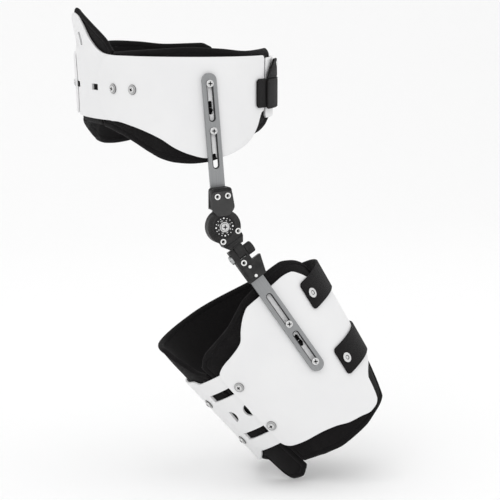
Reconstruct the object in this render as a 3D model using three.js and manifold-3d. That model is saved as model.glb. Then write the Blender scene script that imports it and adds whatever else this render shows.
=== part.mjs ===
import * as THREE from "three";
import { mergeVertices } from "three/addons/utils/BufferGeometryUtils.js";
import Module from "manifold-3d";

// A hip abduction brace for the right leg: a padded plastic band round the pelvis, a slotted upright that
// carries a hinge beside the hip joint, and a second slotted upright with a padded thigh cuff.
// Millimetres and degrees. +X is the wearer's front, -Y the wearer's right, +Z up. The origin is the middle
// of the band. Angles round the band and the cuff are 0 in front, 90 at the outer side and 180 behind.

// Sheets, webbing and clearances
const layerGap = 0.4; // between curved sheets that lie on each other
const seatGap = 0.3; // between flat faces that rest on each other
const play = 0.3; // round a shank in its hole or slot
const shell = 3;
const pad = 6.5;
const webbing = 2.5;
const edgeRadius = 5; // corners of small cut sheets
const slotCorner = 1.5;
const drillLength = 24; // of a cutter for a bore in a curved sheet
const barDrillLength = 60; // of a cutter through a sheet behind an upright
const sheetStep = 10.5; // longest facet along a curved sheet
const turnedSides = 9; // facets round a small turned piece
const arcSegments = 8; // facets of an arc in a flat piece
const fullTurn = 360;
const weld = 1; // how far two solids run into each other before they are joined

// Pelvic band
const bandWidth = 344;
const bandDepth = 228;
const backLean = 0.06; // how far the back leans out for each millimetre above leanFrom
const leanFrom = -30;
const lumbarFlare = 0.22; // and how much more for each millimetre above flareFrom
const flareFrom = 57;
const hipTop = 46;
const hipDrop = 70;
const lumbarPeak = 95;
const lumbarDrop = 31;
const tongueTop = 43;
const tongueDrop = 28;
const panelRear = 155; // angle of the hip panel's rounded rear end
const panelFront = 63.5;
const tongueEnd = 62;
const lumbarEnd = 125;
const noseRadius = 37;
const linerFront = 50;
const linerSeam = { bottom: 157, top: 142 };
const seamGap = 0.4; // angle between the ends of two liners
const linerStep = { from: 13, to: 5.5 }; // angles before the edge of an under sheet, where a liner steps in
const hipLinerTop = 57;
const hipLinerDrop = 77;
const lumbarLinerPeak = 101;
const lumbarLinerDrop = 38;
const backSlot = { bottom: 56, top: 72, halfAngle: 2.2 };
const sideSlot = { height: 7.5, rear: 166, front: 122 };
const sideSlotLevel = 7.2;
const rearScrewAngle = 140;
const frontScrewAngle = 127;

// Belly closure
const bellyStrapWidth = 34;
const bellyStrapLevel = 2;
const bellyPadEnd = 71;
const bellyPadHidden = 20;
const bellyStrapEnd = 64;
const bellyStrapFar = -71;
const bellyStrapBelow = 2; // how far the strap comes out under its hook pad
const bellyStrapShort = 1; // and how far it stays under the pad's upper edge
const strapFall = { from: 16, to: 6 }; // angles past the end of a sheet, where a strap comes down from it
const tabRise = 22;
const tabBase = { from: 64, to: 43 };
const tabTip = { from: 54, to: 46 };
const ringRadius = 3.2;
const ringTube = 0.7; // share of the ring's radius that its tube takes
const tabStep = 6;

// Slotted uprights
const barWidth = 17.5;
const barThick = 3.2;
const slotWidth = 6;
const slotLength = 46;
const slotPitch = 54.5;
const slotMargin = 9;
const upperReach = 177; // hinge centre to the free end
const lowerReach = 168; // abduction pivot to the free end
const upperTilt = 4.65;

// Hinge
const hingeForward = 1;
const hingeDrop = 148.5;
const hingeRadius = 20;
const barEndRadius = 15; // of the upper upright's round end, behind the hinge plate
const hingeDepth = 12; // thickness of the lower hinge plate
const plateTilt = 33.5; // flexion as shown, from the vertical
const plateWidth = 27;
const plateReach = 27.5;
const bracketWidth = 24; // at its top
const bracketShoulder = 28; // width where the cover's tongue starts
const bracketTop = 45.5;
const coverTop = 41.5;
const bracketBottom = 21.5;
const tongueTip = 13;
const tongueTipWidth = 14.5;
const bracketChamfer = 3;
const plateShoulder = 0.75; // share of the plate's reach where it narrows
const coverThick = 1.5;
const dialRadius = 12.8;
const dialThick = 2.2;
const dialPocket = 2.5; // depth of its recess in the plate's face
const centreShank = 3;
const eyeletFlange = 3.5;
const eyeletBarrel = 2.6;
const eyeletBore = 2;
const flangeThick = 1;
const bracketEyelets = { up: 36, spread: 6.3 };
const plateEyelets = { down: 13.4, spread: 10.9 };

// Abduction joint and lower block
const pivotDrop = 40;
const pivotOut = 7;
const abduction = 10; // as shown
const lugWidth = 9;
const lugRadius = 5;
const lugClearance = 0.8;
const lugSides = 20;
const pocketSides = 24;
const pinRadius = 2;
const pinHead = { radius: 5.5, neck: 4.5, thick: 2.5, edge: 1.5 };
const cheek = 3.5; // block between the lug and the knob
const blockWidth = 24;
const blockTop = 10; // above the pivot
const blockReach = 34.5; // below the pivot
const blockThick = 10;
const blockTaper = 0.95;
const knobRecess = 2; // how much lower the block's shoulder starts than the knob
const knobRadius = 7;
const knobLength = 9.5;
const knobEdge = 1.5;
const knobGap = 1; // between the knob and the upright
const blockEyelet = { down: 10.1, forward: -4 };
const studDown = [17.9, 30.4];
const studForward = -0.8;

// Thigh cuff, in the frame of the lower upright
const cuffDatum = 57.5; // distance below the pivot where the two half sizes hold
const cuffHalfWidth = 101;
const cuffHalfDepth = 113;
const widthTaper = 0.1;
const depthTaper = 0.117;
const cuffBehind = 19.5; // how far the cuff's centre lies behind the upright
const cuffTop = 53.5; // highest point of the lateral panel, below the pivot
const cuffBottom = 248.5;
const cuffBackTop = 107.5;
const cuffBackBottom = 215.5;
const cuffLinerTop = 37.5;
const cuffLinerBottom = 259.5;
const cuffFlap = 47; // highest point of the posterior liner, below the pivot
const lateralRear = { bottom: 135, top: 138 };
const lateralFront = 12;
const posteriorUnder = 124;
const posteriorFar = 310;
const cuffSeam = { bottom: 133, top: 150 };
const cuffSlot = { height: 10, rear: 161.5, front: 134.5 };
const cuffSlotLevels = [131, 191.5];
const cuffScrewAngles = { right: 130.5, left: 173 };
const cuffScrewLevels = [
  { right: 130.5, left: 136.5 },
  { right: 190.5, left: 195.5 },
];
const vent = { radius: 8, level: 161.5, left: 157, right: 138 };
const thighStraps = [
  { name: "upper", level: 92.5, end: 57, rivet: 52 },
  { name: "lower", level: 179, end: 62, rivet: 56 },
];
const thighStrapWidth = 36;
const thighStrapFar = -64;
const linerShort = 4; // angle by which a liner ends before its sheet

// Fasteners
const screwHead = { head: 4.5, headHeight: 2.2, washer: 0, washerThick: 0 };
const panelScrew = { head: 3.8, headHeight: 1.6, washer: 6, washerThick: 1 };
const rivet = { head: 3.6, headHeight: 1.2, washer: 6.2, washerThick: 1.2 };
const stud = { head: 1.9, headHeight: 1, washer: 0, washerThick: 0.2, shank: 1, depth: 0.2 };
const panelShank = 2.4;

// Trimlines: share 0 and 1 are the two named levels that the function beside each table names.
const lumbarTopRows = [
  { angle: 138, share: 0 },
  { angle: 148, share: 0.03 },
  { angle: 158, share: 0.17 },
  { angle: 165.5, share: 0.42 },
  { angle: 169.5, share: 0.7 },
  { angle: 175, share: 0.94 },
  { angle: 180, share: 1 },
];
const hipBottomRows = [
  { angle: 139, share: 0 },
  { angle: 128, share: 0.11 },
  { angle: 120, share: 0.26 },
  { angle: 113, share: 0.46 },
  { angle: 107, share: 0.72 },
  { angle: 101, share: 0.9 },
  { angle: 95, share: 1 },
  { angle: 88.5, share: 0.97 },
  { angle: 81, share: 0.79 },
  { angle: 75, share: 0.55 },
  { angle: 70, share: 0.18 },
];
const hipFrontCorner = { angle: 65.5, share: -0.28 };
const hipLinerTopRows = [
  { angle: 150, share: 0.3 },
  { angle: 127, share: 0.59 },
  { angle: 113, share: 0.82 },
  { angle: 101, share: 1 },
  { angle: 89, share: 0.85 },
  { angle: 76, share: 0.55 },
  { angle: 64, share: 0.66 },
  { angle: 57, share: 0.72 },
  { angle: 50, share: 0.3 },
];
const hipLinerBottomRows = [
  { angle: 157, share: 0.2 },
  { angle: 138, share: 0.36 },
  { angle: 128, share: 0.54 },
  { angle: 120, share: 0.74 },
  { angle: 113, share: 0.9 },
  { angle: 107, share: 0.98 },
  { angle: 101, share: 1 },
  { angle: 95, share: 0.97 },
  { angle: 88.5, share: 0.86 },
  { angle: 81, share: 0.63 },
  { angle: 75, share: 0.44 },
  { angle: 70, share: 0.32 },
  { angle: 66, share: 0.27 },
  { angle: 60, share: 0.17 },
  { angle: 50, share: 0 },
];
const lumbarLinerTopRows = [
  { angle: 142, share: 0.1 },
  { angle: 150, share: 0.38 },
  { angle: 163, share: 0.68 },
  { angle: 176, share: 0.93 },
  { angle: 180, share: 1 },
];
const cuffTopRows = [
  { angle: 138, share: 1 },
  { angle: 134, share: 0.91 },
  { angle: 129, share: 0.83 },
  { angle: 120, share: 0.74 },
  { angle: 111, share: 0.61 },
  { angle: 106, share: 0.39 },
  { angle: 99, share: 0.15 },
  { angle: 94, share: 0.05 },
  { angle: 86, share: 0.03 },
  { angle: 66, share: 0 },
  { angle: 57, share: 0.05 },
  { angle: 50, share: 0.24 },
  { angle: 45, share: 0.43 },
  { angle: 37, share: 0.7 },
  { angle: 12, share: 0.9 },
];
const cuffBottomRows = [
  { angle: 135, share: 0 },
  { angle: 132, share: 0.15 },
  { angle: 128, share: 0.27 },
  { angle: 117, share: 0.37 },
  { angle: 105, share: 0.42 },
  { angle: 93, share: 0.55 },
  { angle: 82, share: 0.76 },
  { angle: 71, share: 0.88 },
  { angle: 61, share: 1 },
  { angle: 53, share: 0.97 },
  { angle: 48, share: 0.85 },
  { angle: 45.3, share: 0.5 },
  { angle: 44.3, share: 0.1 },
  { angle: 31, share: -0.25 },
  { angle: 12, share: -0.5 },
];
const posteriorTopRows = [
  { angle: 124, share: 0 },
  { angle: 161, share: 0 },
  { angle: 168, share: 0.09 },
  { angle: 205, share: 0.1 },
  { angle: 250, share: 0.5 },
  { angle: 310, share: 0.42 },
];
const posteriorBottomRows = [
  { angle: 124, share: 0 },
  { angle: 159, share: 0 },
  { angle: 166, share: 0.2 },
  { angle: 179, share: 0.4 },
  { angle: 240, share: 0.45 },
  { angle: 310, share: 0.1 },
];
const lateralLinerTopRows = [
  { angle: 150, share: 0.74 },
  { angle: 140, share: 0.58 },
  { angle: 128, share: 0.49 },
  { angle: 113, share: 0.38 },
  { angle: 102, share: 0.24 },
  { angle: 94, share: 0.14 },
  { angle: 86, share: 0.1 },
  { angle: 71, share: 0 },
  { angle: 59, share: 0.02 },
  { angle: 49, share: 0.12 },
  { angle: 39, share: 0.29 },
  { angle: 33, share: 0.52 },
  { angle: 16, share: 0.8 },
];
const lateralLinerBottomRows = [
  { angle: 131, share: 0.8 },
  { angle: 120, share: 0.86 },
  { angle: 108, share: 0.93 },
  { angle: 95, share: 1 },
  { angle: 71, share: 0.98 },
  { angle: 57, share: 0.91 },
  { angle: 44, share: 0.86 },
  { angle: 34, share: 0.8 },
  { angle: 30, share: 0.6 },
  { angle: 16, share: 0 },
];
const posteriorLinerTopRows = [
  { angle: 150, share: 0.13 },
  { angle: 159, share: 0.26 },
  { angle: 166, share: 0.53 },
  { angle: 173, share: 0.72 },
  { angle: 183, share: 0.94 },
  { angle: 200, share: 1 },
  { angle: 250, share: 0.94 },
  { angle: 310, share: 0.75 },
];
const posteriorLinerBottomRows = [
  { angle: 133, share: 0.98 },
  { angle: 145, share: 1.17 },
  { angle: 155, share: 1.15 },
  { angle: 161, share: 0.95 },
  { angle: 165, share: 0.4 },
  { angle: 180, share: 0.36 },
  { angle: 250, share: 0.5 },
  { angle: 310, share: 0.3 },
];

// Looks
const looks = {
  shell: new THREE.MeshStandardMaterial({ color: 0xf1f1f0, roughness: 0.45, metalness: 0 }),
  foam: new THREE.MeshStandardMaterial({ color: 0x1c1a1b, roughness: 0.95, metalness: 0 }),
  webbing: new THREE.MeshStandardMaterial({ color: 0x1a1819, roughness: 0.9, metalness: 0 }),
  upright: new THREE.MeshStandardMaterial({ color: 0x8a8c8f, roughness: 0.4, metalness: 0.9 }),
  hinge: new THREE.MeshStandardMaterial({ color: 0x2e2d2e, roughness: 0.5, metalness: 0.2 }),
  dial: new THREE.MeshStandardMaterial({ color: 0x141314, roughness: 0.5, metalness: 0 }),
  steel: new THREE.MeshStandardMaterial({ color: 0xc9cbcd, roughness: 0.25, metalness: 1 }),
  eyelet: new THREE.MeshStandardMaterial({ color: 0xe8e8e8, roughness: 0.35, metalness: 0.2 }),
};

const wasm = await Module();
wasm.setup();

const { clamp, degToRad, inverseLerp, lerp, smoothstep } = THREE.MathUtils;
const outward = new THREE.Vector3(0, -1, 0);

// Solids and booleans
function solidOf(geometry) {
  const bare = geometry.clone();
  bare.deleteAttribute("normal");
  bare.deleteAttribute("uv");
  const merged = mergeVertices(bare, 1e-4);
  return new wasm.Manifold(
    new wasm.Mesh({
      numProp: 3,
      vertProperties: new Float32Array(merged.attributes.position.array),
      triVerts: new Uint32Array(merged.index.array),
    }),
  );
}

function geometryOf(solid) {
  const mesh = solid.getMesh();
  const geometry = new THREE.BufferGeometry();
  geometry.setAttribute("position", new THREE.BufferAttribute(new Float32Array(mesh.vertProperties), 3));
  geometry.setIndex(new THREE.BufferAttribute(new Uint32Array(mesh.triVerts), 1));
  return geometry;
}

function cutBy(geometry, cutters) {
  return geometryOf(cutters.reduce((left, cutter) => left.subtract(solidOf(cutter)), solidOf(geometry)));
}

function joined(geometries) {
  return geometryOf(geometries.map(solidOf).reduce((whole, part) => whole.add(part)));
}

// A smooth curve through a table's rows, without overshoot, and level beyond its ends.
function curveThrough(rows) {
  const sorted = [...rows].sort((a, b) => a.angle - b.angle);
  const slopes = sorted
    .slice(1)
    .map((row, i) => (row.share - sorted[i].share) / (row.angle - sorted[i].angle));
  const tangents = sorted.map((row, i) => {
    const before = slopes[i - 1];
    const after = slopes[i];
    if (before === undefined || after === undefined || before * after <= 0) return 0;
    return (2 * before * after) / (before + after);
  });
  return (angle) => {
    if (angle <= sorted[0].angle) return sorted[0].share;
    const last = sorted.length - 1;
    if (angle >= sorted[last].angle) return sorted[last].share;
    const i = sorted.findIndex((row) => row.angle > angle) - 1;
    const span = sorted[i + 1].angle - sorted[i].angle;
    const t = (angle - sorted[i].angle) / span;
    const t2 = t * t;
    const t3 = t2 * t;
    return (
      sorted[i].share * (2 * t3 - 3 * t2 + 1) +
      sorted[i + 1].share * (3 * t2 - 2 * t3) +
      span * (tangents[i] * (t3 - 2 * t2 + t) + tangents[i + 1] * (t3 - t2))
    );
  };
}

// A trimline that runs between two named levels as its table says.
function trimline(rows, zero, one) {
  const share = curveThrough(rows);
  return (angle) => lerp(zero, one, share(angle));
}

// How far a round corner draws an edge in, at a distance from the end of the sheet.
function cornerInset(distance, radius) {
  if (distance >= radius) return 0;
  return radius - Math.sqrt(radius * radius - (radius - distance) ** 2);
}

// A closed wall on a curved surface, from one edge to another with falling angles, between a bottom and a top
// trimline and between an inner and an outer offset. A rim rounds the two long edges of a thick pad. A crease
// is a level where the surface bends, and the wall has two rows that meet there.
function curvedWall(wall) {
  const { surface, from, to, bottom, top, inner, outer, rim = 0, rows = 1, step = sheetStep, crease } = wall;
  const corner = { fromBottom: 0, fromTop: 0, toBottom: 0, toTop: 0, ...wall.corner };
  const edgeAt = (edge, v) => lerp(edge.bottom ?? edge, edge.top ?? edge, v);
  const angleAt = (s, v) => lerp(edgeAt(from, v), edgeAt(to, v), s);
  const middle = (s) => {
    const angle = angleAt(s, 0.5);
    return surface(angle, (bottom(angle) + top(angle)) / 2, 0);
  };
  const samples = Array.from({ length: 49 }, (_, i) => middle(i / 48));
  const length = samples.slice(1).reduce((sum, point, i) => sum + point.distanceTo(samples[i]), 0);

  const cornerShares = (radius) => {
    const steps = radius > 12 ? 6 : 3;
    return Array.from({ length: steps + 1 }, (_, i) => {
      return (radius * (1 - Math.cos((i / steps) * (Math.PI / 2)))) / length;
    });
  };
  const leading = [...cornerShares(corner.fromBottom), ...cornerShares(corner.fromTop)];
  const trailing = [...cornerShares(corner.toBottom), ...cornerShares(corner.toTop)]
    .map((share) => 1 - share);
  const first = Math.max(...leading);
  const last = Math.min(...trailing);
  const columns = Math.max(1, Math.ceil(((last - first) * length) / step));
  const between = Array.from({ length: columns + 1 }, (_, i) => lerp(first, last, i / columns));
  const shares = [...leading, ...between, ...trailing]
    .sort((a, b) => a - b)
    .filter((share, i, all) => i === 0 || share - all[i - 1] > 1e-4);

  const positions = [];
  const put = (angle, height, offset) => positions.push(...surface(angle, height, offset).toArray());
  const valueAt = (offset, angle) => (typeof offset === "function" ? offset(angle) : offset);
  shares.forEach((s) => {
    const near = s * length;
    const far = (1 - s) * length;
    const insetBottom = Math.max(cornerInset(near, corner.fromBottom), cornerInset(far, corner.toBottom));
    const insetTop = Math.max(cornerInset(near, corner.fromTop), cornerInset(far, corner.toTop));
    const low = bottom(angleAt(s, 0)) + insetBottom;
    const high = top(angleAt(s, 1)) - insetTop;
    const edge = Math.min(rim, (high - low) / 3);
    const bend = crease === undefined ? 0.5 : clamp(inverseLerp(low + edge, high - edge, crease), 0.1, 0.97);
    for (const side of [outer, inner]) {
      for (let i = 0; i <= rows; i++) {
        const v = i === 1 && rows === 2 ? bend : i / rows;
        const angle = angleAt(s, v);
        put(angle, lerp(low + edge, high - edge, v), valueAt(side, angle));
      }
    }
    for (const [v, height] of [[0, low], [1, high]]) {
      const angle = angleAt(s, v);
      if (rim > 0) put(angle, height, (valueAt(inner, angle) + valueAt(outer, angle)) / 2);
    }
  });

  const ring = 2 * (rows + 1) + (rim > 0 ? 2 : 0);
  const outerAt = (s, i) => s * ring + i;
  const innerAt = (s, i) => s * ring + rows + 1 + i;
  const rimAt = (s, end) => s * ring + 2 * (rows + 1) + end;
  const faces = [];
  const quad = (a, b, c, d) => faces.push(a, b, c, a, c, d);
  const end = shares.length - 1;
  for (let s = 0; s < end; s++) {
    for (let i = 0; i < rows; i++) {
      quad(outerAt(s, i), outerAt(s + 1, i), outerAt(s + 1, i + 1), outerAt(s, i + 1));
      quad(innerAt(s, i + 1), innerAt(s + 1, i + 1), innerAt(s + 1, i), innerAt(s, i));
    }
    if (rim > 0) {
      quad(outerAt(s, rows), outerAt(s + 1, rows), rimAt(s + 1, 1), rimAt(s, 1));
      quad(rimAt(s, 1), rimAt(s + 1, 1), innerAt(s + 1, rows), innerAt(s, rows));
      quad(innerAt(s, 0), innerAt(s + 1, 0), rimAt(s + 1, 0), rimAt(s, 0));
      quad(rimAt(s, 0), rimAt(s + 1, 0), outerAt(s + 1, 0), outerAt(s, 0));
    } else {
      quad(outerAt(s, rows), outerAt(s + 1, rows), innerAt(s + 1, rows), innerAt(s, rows));
      quad(innerAt(s, 0), innerAt(s + 1, 0), outerAt(s + 1, 0), outerAt(s, 0));
    }
  }
  for (let i = 0; i < rows; i++) {
    quad(outerAt(0, i), outerAt(0, i + 1), innerAt(0, i + 1), innerAt(0, i));
    quad(innerAt(end, i), innerAt(end, i + 1), outerAt(end, i + 1), outerAt(end, i));
  }
  if (rim > 0) {
    faces.push(outerAt(0, rows), rimAt(0, 1), innerAt(0, rows), innerAt(0, 0), rimAt(0, 0), outerAt(0, 0));
    faces.push(innerAt(end, rows), rimAt(end, 1), outerAt(end, rows));
    faces.push(outerAt(end, 0), rimAt(end, 0), innerAt(end, 0));
  }
  const geometry = new THREE.BufferGeometry();
  geometry.setAttribute("position", new THREE.Float32BufferAttribute(positions, 3));
  geometry.setIndex(faces);
  return geometry;
}

// The pelvic band's surface, and the cuff's in the frame of the lower upright.
function bandPoint(angle, height, offset) {
  const turn = degToRad(angle);
  const back = backLean * (height - leanFrom) + lumbarFlare * Math.max(0, height - flareFrom);
  const lean = Math.cos(turn) < 0 ? back : 0;
  const halfDepth = bandDepth / 2 + offset + lean;
  const halfWidth = bandWidth / 2 + offset;
  const reach = 1 / Math.hypot(Math.cos(turn) / halfDepth, Math.sin(turn) / halfWidth);
  return new THREE.Vector3(reach * Math.cos(turn), -reach * Math.sin(turn), height);
}

function cuffPoint(angle, height, offset) {
  const turn = degToRad(angle);
  const below = -height - cuffDatum;
  const halfWidth = cuffHalfWidth - widthTaper * below;
  const halfDepth = cuffHalfDepth - depthTaper * below;
  const standoff = barThick / 2 + layerGap;
  return new THREE.Vector3(
    (halfDepth + offset) * Math.cos(turn) - cuffBehind,
    standoff + halfWidth - (halfWidth + offset) * Math.sin(turn),
    height,
  );
}

function normalAt(surface, angle, height) {
  const nudge = 0.5;
  const along = surface(angle - nudge, height, 0).sub(surface(angle + nudge, height, 0));
  const up = surface(angle, height + nudge, 0).sub(surface(angle, height - nudge, 0));
  return along.cross(up).normalize();
}

// Cuts through a curved sheet
function slotCutter(surface, from, to, low, high) {
  return curvedWall({
    surface,
    from,
    to,
    bottom: () => low,
    top: () => high,
    inner: -drillLength / 2,
    outer: shell,
    corner: { fromBottom: slotCorner, fromTop: slotCorner, toBottom: slotCorner, toTop: slotCorner },
  });
}

function boreCutter(surface, angle, height, radius) {
  const drill = new THREE.CylinderGeometry(radius, radius, drillLength, turnedSides);
  return seated(drill, surface(angle, height, 0), normalAt(surface, angle, height));
}

function seated(geometry, point, direction) {
  geometry.applyQuaternion(new THREE.Quaternion().setFromUnitVectors(new THREE.Vector3(0, 1, 0), direction));
  return geometry.translate(point.x, point.y, point.z);
}

// Turned pieces, with their axis along +Y and their seat at 0
function fastener({ head, headHeight, washer, washerThick, shank, depth }) {
  const recess = head * 0.42;
  const brim = Math.max(washer, head);
  const profile = [
    [0, -depth],
    [shank, -depth],
    [shank, 0],
    [brim, 0],
    [head, washerThick],
    [head * 0.8, washerThick + headHeight],
    [recess, washerThick + headHeight],
    [0, washerThick + headHeight * 0.4],
  ];
  const points = profile
    .map(([x, y]) => new THREE.Vector2(x, y))
    .filter((point, i, all) => i === 0 || point.distanceTo(all[i - 1]) > 1e-3);
  return new THREE.LatheGeometry(points, turnedSides);
}

function eyelet(depth) {
  const profile = [
    [eyeletBore, -depth],
    [eyeletBarrel, -depth],
    [eyeletBarrel, 0],
    [eyeletFlange, 0],
    [eyeletFlange * 0.9, flangeThick * 0.7],
    [eyeletFlange * 0.72, flangeThick],
    [eyeletBore, flangeThick * 0.5],
    [eyeletBore, -depth],
  ];
  return new THREE.LatheGeometry(profile.map(([x, y]) => new THREE.Vector2(x, y)), turnedSides);
}

// Flat pieces: a shape drawn forward and up, thickened between two distances outward
function slab(shape, near, far) {
  const steps = { depth: far - near, bevelEnabled: false, curveSegments: arcSegments };
  const geometry = new THREE.ExtrudeGeometry(shape, steps);
  return geometry.rotateX(Math.PI / 2).translate(0, -near, 0);
}

function outline(rows) {
  const points = rows.map(([forward, up]) => new THREE.Vector2(forward, up));
  return new THREE.Shape(THREE.ShapeUtils.isClockWise(points) ? points.reverse() : points);
}

function roundHole(shape, forward, up, radius) {
  shape.holes.push(new THREE.Path().absarc(forward, up, radius, 0, 2 * Math.PI, true));
}

function slotHole(shape, low, high) {
  const radius = slotWidth / 2;
  const path = new THREE.Path();
  path.absarc(0, high - radius, radius, 0, Math.PI, false);
  path.absarc(0, low + radius, radius, Math.PI, 2 * Math.PI, false);
  shape.holes.push(path);
}

// The slots of an upright, as distances from its joint: the far slot first.
function slotsOf(reach) {
  return [0, 1].map((i) => {
    const far = reach - slotMargin - i * slotPitch;
    return { far, near: far - slotLength, screw: far - slotWidth / 2 };
  });
}

// The scene graph
const brace = new THREE.Group();
const hingeCentre = new THREE.Vector3(
  hingeForward,
  -(bandWidth / 2 + layerGap + barThick / 2),
  -hingeDrop,
);

function frameAt(parent, position, rotation) {
  const frame = new THREE.Group();
  frame.position.copy(position);
  frame.rotation.set(degToRad(rotation.x ?? 0), degToRad(rotation.y ?? 0), 0);
  parent.add(frame);
  return frame;
}

const upperFrame = frameAt(brace, hingeCentre, { y: -upperTilt });
const plateFrame = frameAt(brace, hingeCentre, { y: -plateTilt });
const pivotFrame = frameAt(plateFrame, new THREE.Vector3(0, -pivotOut, -pivotDrop), { x: -abduction });
const lowerFrame = frameAt(pivotFrame, new THREE.Vector3(0, pivotOut, 0), {});

function addPiece(frame, name, geometry, look) {
  const flat = geometry.index ? geometry.toNonIndexed() : geometry;
  flat.computeVertexNormals();
  const mesh = new THREE.Mesh(flat, look);
  mesh.name = name;
  frame.add(mesh);
}

// Pelvic band
const hipBottom = trimline(hipBottomRows.concat(hipFrontCorner), -lumbarDrop, -hipDrop);
const leftHipBottom = trimline(
  hipBottomRows
    .map((row) => ({ angle: -row.angle, share: row.share }))
    .concat([-tongueEnd, tongueEnd].map((angle) => {
      return { angle, share: (tongueDrop - lumbarDrop) / (hipDrop - lumbarDrop) };
    })),
  -lumbarDrop,
  -hipDrop,
);
const bothSides = (curve) => (angle) => curve(180 - Math.abs(180 - angle));
const lumbarTop = bothSides(trimline(lumbarTopRows, hipTop, lumbarPeak));
const underLayer = -(shell + layerGap);
const innerLayer = -2 * (shell + layerGap);

// A liner lies on the outer sheet, and steps in where a second sheet is under it.
function linerFace(edge) {
  return (angle) => {
    const depth = smoothstep(Math.abs(angle), edge - linerStep.from, edge - linerStep.to);
    return lerp(underLayer, innerLayer, depth);
  };
}

function upperBarScrews() {
  return slotsOf(upperReach).map((slot) => {
    const tilt = degToRad(upperTilt);
    const x = hingeCentre.x - Math.sin(tilt) * slot.screw;
    const z = hingeCentre.z + Math.cos(tilt) * slot.screw;
    const across = Math.sqrt(1 - (x / (bandDepth / 2)) ** 2) * (bandWidth / 2);
    return { up: slot.screw, x, z, sheet: -hingeCentre.y - across };
  });
}

function addBand() {
  const sideScrews = [rearScrewAngle, frontScrewAngle];
  const panelBores = (sign) => {
    return sideScrews.map((angle) => boreCutter(bandPoint, sign * angle, sideSlotLevel, panelShank + play));
  };
  const barBores = upperBarScrews().map(({ x, z }) => {
    const drill = new THREE.CylinderGeometry(slotWidth / 2, slotWidth / 2, barDrillLength, turnedSides);
    return drill.translate(x, hingeCentre.y, z);
  });
  const slotLow = sideSlotLevel - sideSlot.height / 2;
  const slotHigh = sideSlotLevel + sideSlot.height / 2;

  const lumbar = curvedWall({
    surface: bandPoint,
    from: fullTurn - lumbarEnd,
    to: lumbarEnd,
    bottom: () => -lumbarDrop,
    top: lumbarTop,
    inner: underLayer - shell,
    outer: underLayer,
    rows: 2,
    crease: flareFrom,
    corner: { fromBottom: edgeRadius, fromTop: edgeRadius, toBottom: edgeRadius, toTop: edgeRadius },
  });
  const lumbarCuts = [
    slotCutter(bandPoint, 180 + backSlot.halfAngle, 180 - backSlot.halfAngle, backSlot.bottom, backSlot.top),
    slotCutter(bandPoint, sideSlot.rear, sideSlot.front, slotLow, slotHigh),
    slotCutter(bandPoint, fullTurn - sideSlot.front, fullTurn - sideSlot.rear, slotLow, slotHigh),
  ];
  addPiece(brace, "lumbar_panel", cutBy(lumbar, lumbarCuts), looks.shell);

  const rightPanel = curvedWall({
    surface: bandPoint,
    from: panelRear,
    to: panelFront,
    bottom: hipBottom,
    top: () => hipTop,
    inner: -shell,
    outer: 0,
    corner: { fromBottom: noseRadius, fromTop: noseRadius, toBottom: edgeRadius, toTop: edgeRadius },
  });
  addPiece(brace, "right_hip_panel", cutBy(rightPanel, [...panelBores(1), ...barBores]), looks.shell);

  const leftPanel = curvedWall({
    surface: bandPoint,
    from: tongueEnd,
    to: -panelRear,
    bottom: leftHipBottom,
    top: trimline([{ angle: 20, share: 0 }, { angle: -40, share: 1 }], tongueTop, hipTop),
    inner: -shell,
    outer: 0,
    corner: { fromBottom: edgeRadius, fromTop: edgeRadius, toBottom: noseRadius, toTop: noseRadius },
  });
  addPiece(brace, "left_hip_panel", cutBy(leftPanel, panelBores(-1)), looks.shell);

  const lumbarLiner = curvedWall({
    surface: bandPoint,
    from: { bottom: fullTurn - linerSeam.bottom - seamGap, top: fullTurn - linerSeam.top - seamGap },
    to: { bottom: linerSeam.bottom + seamGap, top: linerSeam.top + seamGap },
    bottom: () => -lumbarLinerDrop,
    top: bothSides(trimline(lumbarLinerTopRows, hipTop, lumbarLinerPeak)),
    inner: innerLayer - pad,
    outer: innerLayer,
    rows: 2,
    crease: flareFrom,
    rim: pad / 2,
    corner: { fromBottom: edgeRadius, toBottom: edgeRadius },
  });
  addPiece(brace, "lumbar_liner", lumbarLiner, looks.foam);

  const linerBottom = trimline(hipLinerBottomRows, -lumbarDrop, -hipLinerDrop);
  const linerTop = trimline(hipLinerTopRows, hipTop, hipLinerTop);
  const stepped = linerFace(lumbarEnd);
  const hipLiner = {
    surface: bandPoint,
    inner: (angle) => stepped(angle) - pad,
    outer: stepped,
    rows: 2,
    rim: pad / 2,
  };
  const rightLiner = curvedWall({
    ...hipLiner,
    from: linerSeam,
    to: linerFront,
    bottom: linerBottom,
    top: linerTop,
    corner: { fromBottom: edgeRadius, toBottom: edgeRadius, toTop: edgeRadius },
  });
  addPiece(brace, "right_hip_liner", rightLiner, looks.foam);
  const leftLiner = curvedWall({
    ...hipLiner,
    from: -linerFront,
    to: { bottom: -linerSeam.bottom, top: -linerSeam.top },
    bottom: (angle) => linerBottom(-angle),
    top: (angle) => linerTop(-angle),
    corner: { fromBottom: edgeRadius, fromTop: edgeRadius, toBottom: edgeRadius },
  });
  addPiece(brace, "left_hip_liner", leftLiner, looks.foam);

  for (const [side, sign] of [["right", 1], ["left", -1]]) {
    sideScrews.forEach((angle, i) => {
      const screw = fastener({ ...panelScrew, shank: panelShank, depth: 2 * shell + layerGap });
      const normal = normalAt(bandPoint, sign * angle, sideSlotLevel);
      const seat = bandPoint(sign * angle, sideSlotLevel, 0).addScaledVector(normal, seatGap);
      const name = `${side}_${["rear", "front"][i]}_panel_screw`;
      addPiece(brace, name, seated(screw, seat, normal), looks.steel);
    });
  }
}

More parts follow.
